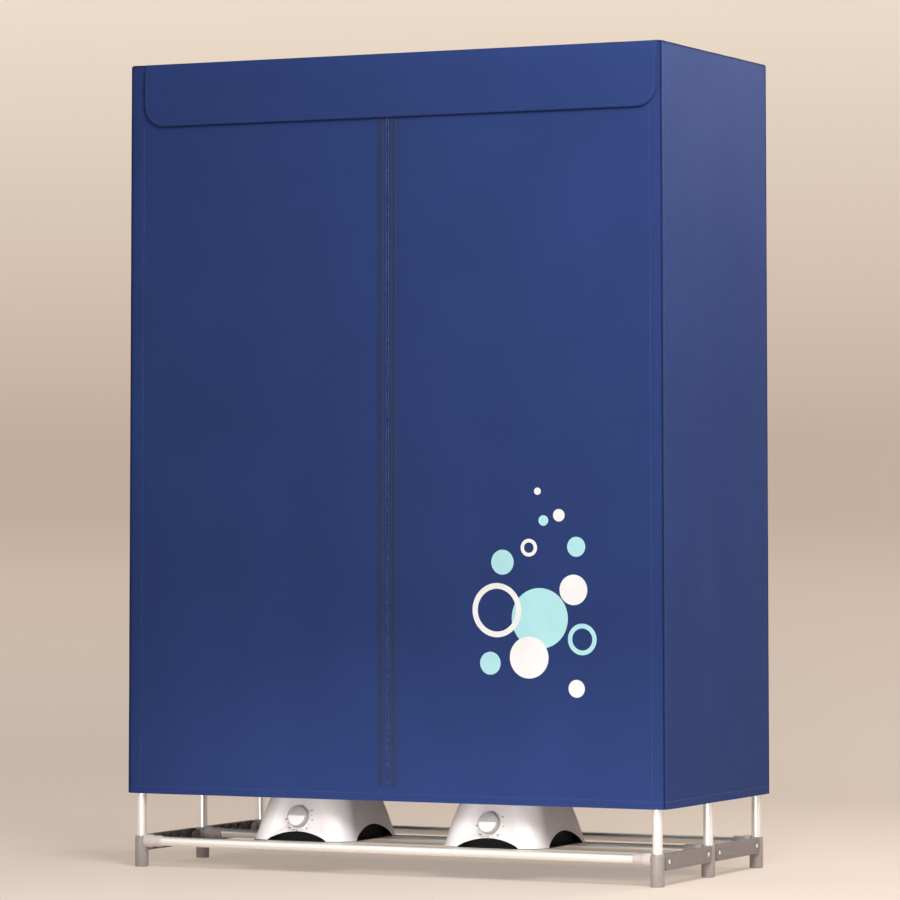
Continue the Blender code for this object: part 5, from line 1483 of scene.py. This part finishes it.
class DRYER_OT_housings(Operator):
    """Heater housings: arched, flared shells with a crease over the skirt, a dial pad and its minutes"""
    bl_idname = "dryer.housings"
    bl_label = "Heater housings"

    def execute(self, context):
        for side in SIDES:
            low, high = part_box(f"heater_{side}_housing")
            middle = Vector(((low.x + high.x) / 2, (low.y + high.y) / 2, UNIT_LOW))
            self.housing(side, middle)
        return {"FINISHED"}

    def housing(self, side, middle):
        mesh = self.shell()
        mesh.transform(Matrix.Translation(middle))
        shell = linked(f"heater_{side}_shell", mesh, "shell")
        # The shell's inner faces take the inner finish: painted shade inside the white housing
        mesh.materials.append(MATERIALS["inner"])
        shell = smoothed(walled(shell, SHELL_WALL, -1, inner=1), radians(28))
        surface = BVHTree.FromPolygons([v.co for v in shell.data.vertices],
                                       [p.vertices for p in shell.data.polygons])
        place = dial_place(side)
        ring = turned("dial_ring", [
            (0.0034, -0.0030), (BEZEL_RADIUS - 0.0004, -0.0030), (BEZEL_RADIUS + 0.0003, 0.0002),
            (BEZEL_RADIUS, 0.0009), (BEZEL_RADIUS - 0.0008, 0.0013), (KNOB_RADIUS + 0.0010, 0.0013),
            (KNOB_RADIUS + 0.0006, 0.0006), (0.0034, 0.0006)], "shell", 64, place, closed=True)
        marks = self.marks(side, surface, place)
        body = merged(f"heater_{side}_shell", [shell, ring])
        fixed(body, "dryer", "white_housing", f"heater_{side}_housing")
        fixed(marks, "dryer", "grey_knob")

    def shell(self):
        """Loft from the arched lower edge, over skirt, crease, wall and shoulder to the outlet's rim."""
        columns = []
        for side in range(4):
            count = 72 if side == 0 else 24
            columns += [(side, i / count * 2 - 1, 0) for i in range(count)]
            columns += [(side, 1, i / 12) for i in range(12)]
        low = HOUSING_TOP - SHOULDER
        bm = bmesh.new()
        strips = []
        for side, along, turn in columns:
            arch = FRONT_ARCH if side % 2 == 0 else SIDE_ARCH
            bow = max(0.0, cos(along * pi / 2)) ** ARCH_FULLNESS if turn == 0 else 0.0
            foot = LIP_RISE + arch * bow
            crease = foot + SKIRT_END + SKIRT_BOW * skirt_fade(side, along)
            heights = [foot, foot + 0.0004, foot + 0.0010, foot + 0.0018]
            first = foot + 0.0026
            heights += [first + (crease - 0.0004 - first) * i / 9 for i in range(10)]
            heights += [crease, crease + 0.0004]
            heights += [crease + 0.0012 + (low - crease - 0.0012) * i / 20 for i in range(21)]
            strip = []
            for i, height in enumerate(heights):
                lip = LIP_REACH * exp((foot - height) / LIP_FADE)
                inset = inset_at(height, skirt_inset(side, along, height - foot, height)) - lip
                if i == 0:
                    inset += 0.0005
                strip.append((*housing_point(side, along, turn, inset), height))
            edge = inset_at(low, SKIRT_REACH * skirt_fade(side, along))
            for step in range(1, 9):
                swing = step / 8 * pi / 2
                strip.append((*housing_point(side, along, turn, edge + SHOULDER * (1 - cos(swing))),
                              low + SHOULDER * sin(swing)))
            flat = Vector(strip[-1][:2])
            rim = flat.normalized() * (OUTLET_RADIUS + 0.0070)
            for share in (0.5, 1.0):
                strip.append((*flat.lerp(rim, share), HOUSING_TOP))
            strip.append((*(rim.normalized() * (OUTLET_RADIUS + 0.0006)), HOUSING_TOP))
            strip.append((*(rim.normalized() * OUTLET_RADIUS), HOUSING_TOP - 0.0006))
            strips.append(strip)
        skinned(bm, list(zip(*strips)))
        mesh = mesh_from(bm, "shell")
        mesh.shade_smooth()
        return mesh

    def marks(self, side, surface, place):
        """Printed minutes and short strokes round the knob, laid on the housing's own surface."""
        outward = place.to_3x3() @ Vector((0, 0, 1))
        pieces = []
        for i in range(11):
            turn = radians(90 - 60 - 20 * i)
            if i % 2:
                spot = Vector((STROKE_RADIUS * cos(turn), STROKE_RADIUS * sin(turn), 0))
                piece = linked("stroke", bpy.data.meshes.new("stroke"), "dark")
                outline = [(-0.0013, -0.0004), (0.0013, -0.0004), (0.0013, 0.0004), (-0.0013, 0.0004)]
                piece.data.from_pydata([(x, y, 0) for x, y in outline], [], [(0, 1, 2, 3)])
                piece.data.transform(Matrix.Rotation(turn, 4, "Z"))
            else:
                spot = Vector((MINUTES_RADIUS * cos(turn), MINUTES_RADIUS * sin(turn), 0))
                letters = bpy.data.curves.new("minutes", "FONT")
                letters.body = str(30 * (i // 2 + 1))
                letters.size = 0.0044
                letters.align_x = "CENTER"
                letters.align_y = "CENTER"
                letters.offset = 0.0001
                piece = painted(settled(linked("minutes", letters)), "dark")
            for vert in piece.data.vertices:
                start = place @ (vert.co + spot + Vector((0, 0, 0.015)))
                hit = surface.ray_cast(start, -outward, 0.05)
                vert.co = (hit[0] or place @ (vert.co + spot)) + outward * 0.0002
            pieces.append(piece)
        return walled(merged(f"heater_{side}_marks", pieces), MARK_THICKNESS, 0)


def joint_named(name):
    """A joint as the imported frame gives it."""
    return next(joint for joint in frame["joints"] if joint["name"] == name)


def dial_place(side):
    """Knob's place and axis, from its joint: local Z outwards, local Y up the wall."""
    joint = joint_named(f"knob_{side}_turn")
    outward = -Vector(joint["axis"]).normalized()
    up = (Vector((0, 0, 1)) - outward * outward.z).normalized()
    across = up.cross(outward)
    place = Matrix((across, up, outward)).transposed().to_4x4()
    return Matrix.Translation(Vector(joint["pos_m"])) @ place


class DRYER_OT_trays(Operator):
    """Base trays: slotted bottom, motor seat and a dark wall behind the arches"""
    bl_idname = "dryer.trays"
    bl_label = "Base trays"

    def execute(self, context):
        for side in SIDES:
            low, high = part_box(f"heater_{side}_base_plate")
            middle = (low + high) / 2
            half = (high - low) / 2
            outline = rounded_rectangle(half.x, half.y, CORNER - 0.005, 10)
            holes = []
            for radius, count in ((0.034, 8), (0.044, 10), (0.054, 12)):
                for i in range(count):
                    start, end = 2 * pi * (i + 0.12) / count, 2 * pi * (i + 0.88) / count
                    holes.append(arc((0, 0), radius + 0.0025, start, end, 8)
                                 + arc((0, 0), radius - 0.0025, end, start, 8))
            place = Matrix.Translation((middle.x, middle.y, low.z + PLATE_THICKNESS / 2))
            # The tray's black made darker still with the inner finish: painted shade under the housing
            parts = [slab("plate", outline, PLATE_THICKNESS, "inner", place, holes=holes,
                          edge=0.0004)]
            seat = Matrix.Translation((middle.x, middle.y, low.z))
            parts.append(turned("motor_seat", [
                (0.0222, 0.0020), (0.0260, 0.0020), (0.0260, 0.0114), (0.0254, 0.0120), (0.0222, 0.0120)],
                "dark", 48, seat, closed=True))
            parts.append(self.wall(seat))
            fixed(merged(f"heater_{side}_tray", parts), "dryer", "black_moulding",
                  f"heater_{side}_base_plate")
        return {"FINISHED"}

    def wall(self, place):
        """Upstanding wall inside the shell, ribbed, lower in front where the timer hangs over it."""
        bm = bmesh.new()
        strips = []
        for side in range(4):
            steps = [(i / 60 * 2 - 1, 0) for i in range(60)] + [(1, i / 8) for i in range(8)]
            for index, (along, turn) in enumerate(steps):
                share = turn if side % 2 == 0 else 1 - turn
                top = TRAY_FRONT_TOP + TRAY_SIDE_RISE * fade(share if turn else float(side % 2), 1.0)
                outer = TRAY_INSET - (TRAY_RIB if turn == 0 and index % 3 == 0 else 0.0)
                inner = TRAY_INSET + TRAY_THICKNESS
                strips.append([(*housing_point(side, along, turn, inset), height)
                               for inset, height in ((outer, 0.0028), (outer, top), (inner, top),
                                                     (inner, 0.0028))])
        skinned(bm, list(zip(*strips)), closed=True)
        bmesh.ops.recalc_face_normals(bm, faces=bm.faces)
        mesh = mesh_from(bm, "tray_wall", place)
        # The wall's inner finish, darker than the dark mouldings, is painted shade behind the arches
        return smoothed(linked("tray_wall", mesh, "inner"), radians(30))


class DRYER_OT_knobs(Operator):
    """Timer knobs with a half-round finger recess"""
    bl_idname = "dryer.knobs"
    bl_label = "Knobs"

    def execute(self, context):
        for side in SIDES:
            place = dial_place(side)
            low, high = 0.0016, 0.0140
            edge = KNOB_RADIUS
            # Body and upper half grey as painted shade on the knob's side and in its shallow recess; the
            # lower half and the step are white shell
            body = turned("knob", [
                (0.0040, low), (edge + 0.0004, low), (edge + 0.0006, low + 0.0006),
                (edge, high - 0.0018), (edge - 0.0005, high - 0.0006), (edge - 0.0014, high),
                (edge - 0.0024, high), (edge - 0.0028, high - 0.0006), (0, high - 0.0006)],
                "dial", 64, place)
            plate_edge = edge - 0.0032
            outline = arc((0, 0.0006), plate_edge, 0, pi, 40)
            recess = slab("recess", outline, 0.0010, "dial",
                          place @ Matrix.Translation((0, 0, high - 0.0004)), edge=0.0003)
            grip = [(-plate_edge, 0.0006), (-plate_edge, -0.0010), (plate_edge, -0.0010),
                    (plate_edge, 0.0006)]
            step = slab("step", grip, 0.0022, "shell",
                        place @ Matrix.Translation((0, 0, high - 0.0005)), edge=0.0004)
            lower = slab("lower", [(x, -y) for x, y in reversed(arc((0, 0.0010), plate_edge, 0, pi, 40))],
                         0.0014, "shell", place @ Matrix.Translation((0, 0, high - 0.0002)),
                         edge=0.0004)
            knob = merged(f"heater_{side}_knob_cap", [body, recess, step, lower])
            fixed(knob, f"knob_{side}", "grey_knob", f"heater_{side}_knob")
        return {"FINISHED"}


class DRYER_OT_outlets(Operator):
    """Outlet grilles: rings and spokes over the fan duct"""
    bl_idname = "dryer.outlets"
    bl_label = "Outlet grilles"

    def execute(self, context):
        sizes = context.scene.dryer_heater
        for side in SIDES:
            low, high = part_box(f"heater_{side}_outlet")
            middle = (low + high) / 2
            place = Matrix.Translation((middle.x, middle.y, 0))
            inner = DUCT_RADIUS - 0.002
            top = high.z
            flange = (high.x - low.x) / 2
            seat = top - 0.0022
            ledge = UNIT_LOW + DUCT_LEDGE
            duct = turned("duct", [
                (inner, top - 0.0004), (inner + 0.0006, top), (flange - 0.0012, top),
                (flange - 0.0003, top - 0.0006), (flange, top - 0.0014), (flange, seat), (DUCT_RADIUS, seat),
                (DUCT_RADIUS, low.z), (inner, low.z), (inner, ledge - 0.002), (inner - 0.004, ledge - 0.002),
                (inner - 0.004, ledge), (inner, ledge)], "shell", 72, place, closed=True)
            parts = [duct]
            hub = GRILLE_HUB
            for i in range(1, sizes.grille_rings):
                radius = hub + (inner - hub) * i / sizes.grille_rings
                parts.append(turned("ring", [
                    (radius - 0.0008, top - 0.0021), (radius + 0.0008, top - 0.0021),
                    (radius + 0.0008, top - 0.0006), (radius + 0.0003, top - 0.0002),
                    (radius - 0.0003, top - 0.0002), (radius - 0.0008, top - 0.0006)],
                    "shell", 72, place, closed=True))
            parts.append(turned("hub", [
                (0, top), (hub - 0.003, top - 0.0001), (hub - 0.001, top - 0.0006),
                (hub, top - 0.0014), (hub, top - 0.0024), (0, top - 0.0024)],
                "shell", 48, place))
            centre = bpy.data.meshes.new("spokes")
            centre.from_pydata([(middle.x, middle.y, top - 0.0014)], [], [])
            bars = grown(linked("spokes", centre), tree_named("spokes", spoke_tree), "shell",
                         Count=sizes.grille_bars, Inner=hub - 0.001, Outer=inner + 0.0006, Width=0.0014,
                         Height=0.0020)
            bars.data.shade_flat()
            parts.append(bars)
            fixed(merged(f"heater_{side}_grille", parts), "dryer", "white_housing",
                  f"heater_{side}_outlet")
        return {"FINISHED"}


class DRYER_OT_fans(Operator):
    """Impellers: domed hub and seven twisted blades"""
    bl_idname = "dryer.fans"
    bl_label = "Impellers"

    def execute(self, context):
        for side in SIDES:
            low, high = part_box(f"heater_{side}_impeller")
            x, y, _ = joint_named(f"fan_{side}_spin")["pos_m"]
            place = Matrix.Translation((x, y, low.z))
            tall = high.z - low.z
            hub = turned("hub", [
                (0, tall), (0.012, tall - 0.0003), (0.0155, tall - 0.0014), (0.0180, tall - 0.0040),
                (0.0190, tall - 0.0080), (0.0190, 0.0004), (0.0186, 0), (0.0165, 0), (0.0165, tall - 0.004),
                (0.0050, tall - 0.004), (0.0050, 0.0010), (0.0026, 0.0010), (0.0026, tall - 0.005),
                (0, tall - 0.005)], "dark", 56, place)
            blades = self.blades(tall)
            blades.data.transform(place)
            fixed(merged(f"heater_{side}_fan", [hub, blades]), f"fan_{side}", "black_moulding",
                  f"heater_{side}_impeller")
        return {"FINISHED"}

    def blades(self, tall):
        bm = bmesh.new()
        for blade in range(BLADES):
            rows = []
            for i in range(11):
                span = i / 10
                width = 1 - 0.20 * span ** 3
                radius = BLADE_ROOT + (BLADE_TIP - BLADE_ROOT) * span
                row = []
                for j in range(9):
                    chord = j / 8 - 0.5
                    turn = blade / BLADES * 2 * pi + chord * width * radians(34) + radians(14) * span ** 2
                    height = tall / 2 + chord * width * 0.013 + 0.0022 * cos(pi * chord)
                    row.append((radius * cos(turn), radius * sin(turn), height))
                rows.append(row)
            skinned(bm, list(zip(*rows)), around=False)
        mesh = mesh_from(bm, "blades")
        mesh.shade_smooth()
        return walled(linked("blades", mesh, "dark"), BLADE_THICKNESS, 0)


class DRYER_OT_finishes(Operator):
    """Finishes of the solids that are right as they stand"""
    bl_idname = "dryer.finishes"
    bl_label = "Finishes"

    def execute(self, context):
        finishes = {"element": "element", "motor": "motor", "timer": "dark", "gland": "dark"}
        for side in SIDES:
            for part, finish in finishes.items():
                painted(frame["nodes"][f"heater_{side}_{part}"], finish)
        return {"FINISHED"}


PIECES = (DRYER_OT_stage, DRYER_OT_cover, DRYER_OT_zip, DRYER_OT_sewing, DRYER_OT_print, DRYER_OT_tubes,
          DRYER_OT_mouldings, DRYER_OT_arms, DRYER_OT_housings, DRYER_OT_trays, DRYER_OT_knobs,
          DRYER_OT_outlets, DRYER_OT_fans, DRYER_OT_finishes)


class DRYER_PT_pieces(Panel):
    """Sizes, colours and pieces of the dryer"""
    bl_idname = "DRYER_PT_pieces"
    bl_label = "Clothes dryer"
    bl_space_type = "VIEW_3D"
    bl_region_type = "UI"
    bl_category = "Dryer"

    def draw(self, context):
        scene = context.scene
        for title, group in (("Cloth", scene.dryer_cloth), ("Heaters", scene.dryer_heater),
                             ("Frame", scene.dryer_frame), ("Stage", scene.dryer_stage)):
            box = self.layout.box()
            box.label(text=title)
            for name in group.__annotations__:
                box.prop(group, name)
        column = self.layout.column(align=True)
        for piece in PIECES:
            column.operator(piece.bl_idname)


GROUPS = {"dryer_cloth": DryerCloth, "dryer_heater": DryerHeater, "dryer_frame": DryerFrame,
          "dryer_stage": DryerStage}


def register():
    for group in GROUPS.values():
        bpy.utils.register_class(group)
    for name, group in GROUPS.items():
        setattr(bpy.types.Scene, name, PointerProperty(type=group))
    for piece in PIECES:
        bpy.utils.register_class(piece)
    bpy.utils.register_class(DRYER_PT_pieces)


def unregister():
    bpy.utils.unregister_class(DRYER_PT_pieces)
    for piece in reversed(PIECES):
        bpy.utils.unregister_class(piece)
    for name, group in GROUPS.items():
        delattr(bpy.types.Scene, name)
        bpy.utils.unregister_class(group)


def main():
    register()
    make_materials(bpy.context.scene)
    for piece in PIECES:
        family, name = piece.bl_idname.split(".")
        getattr(getattr(bpy.ops, family), name)()


if __name__ == "__main__":
    main()
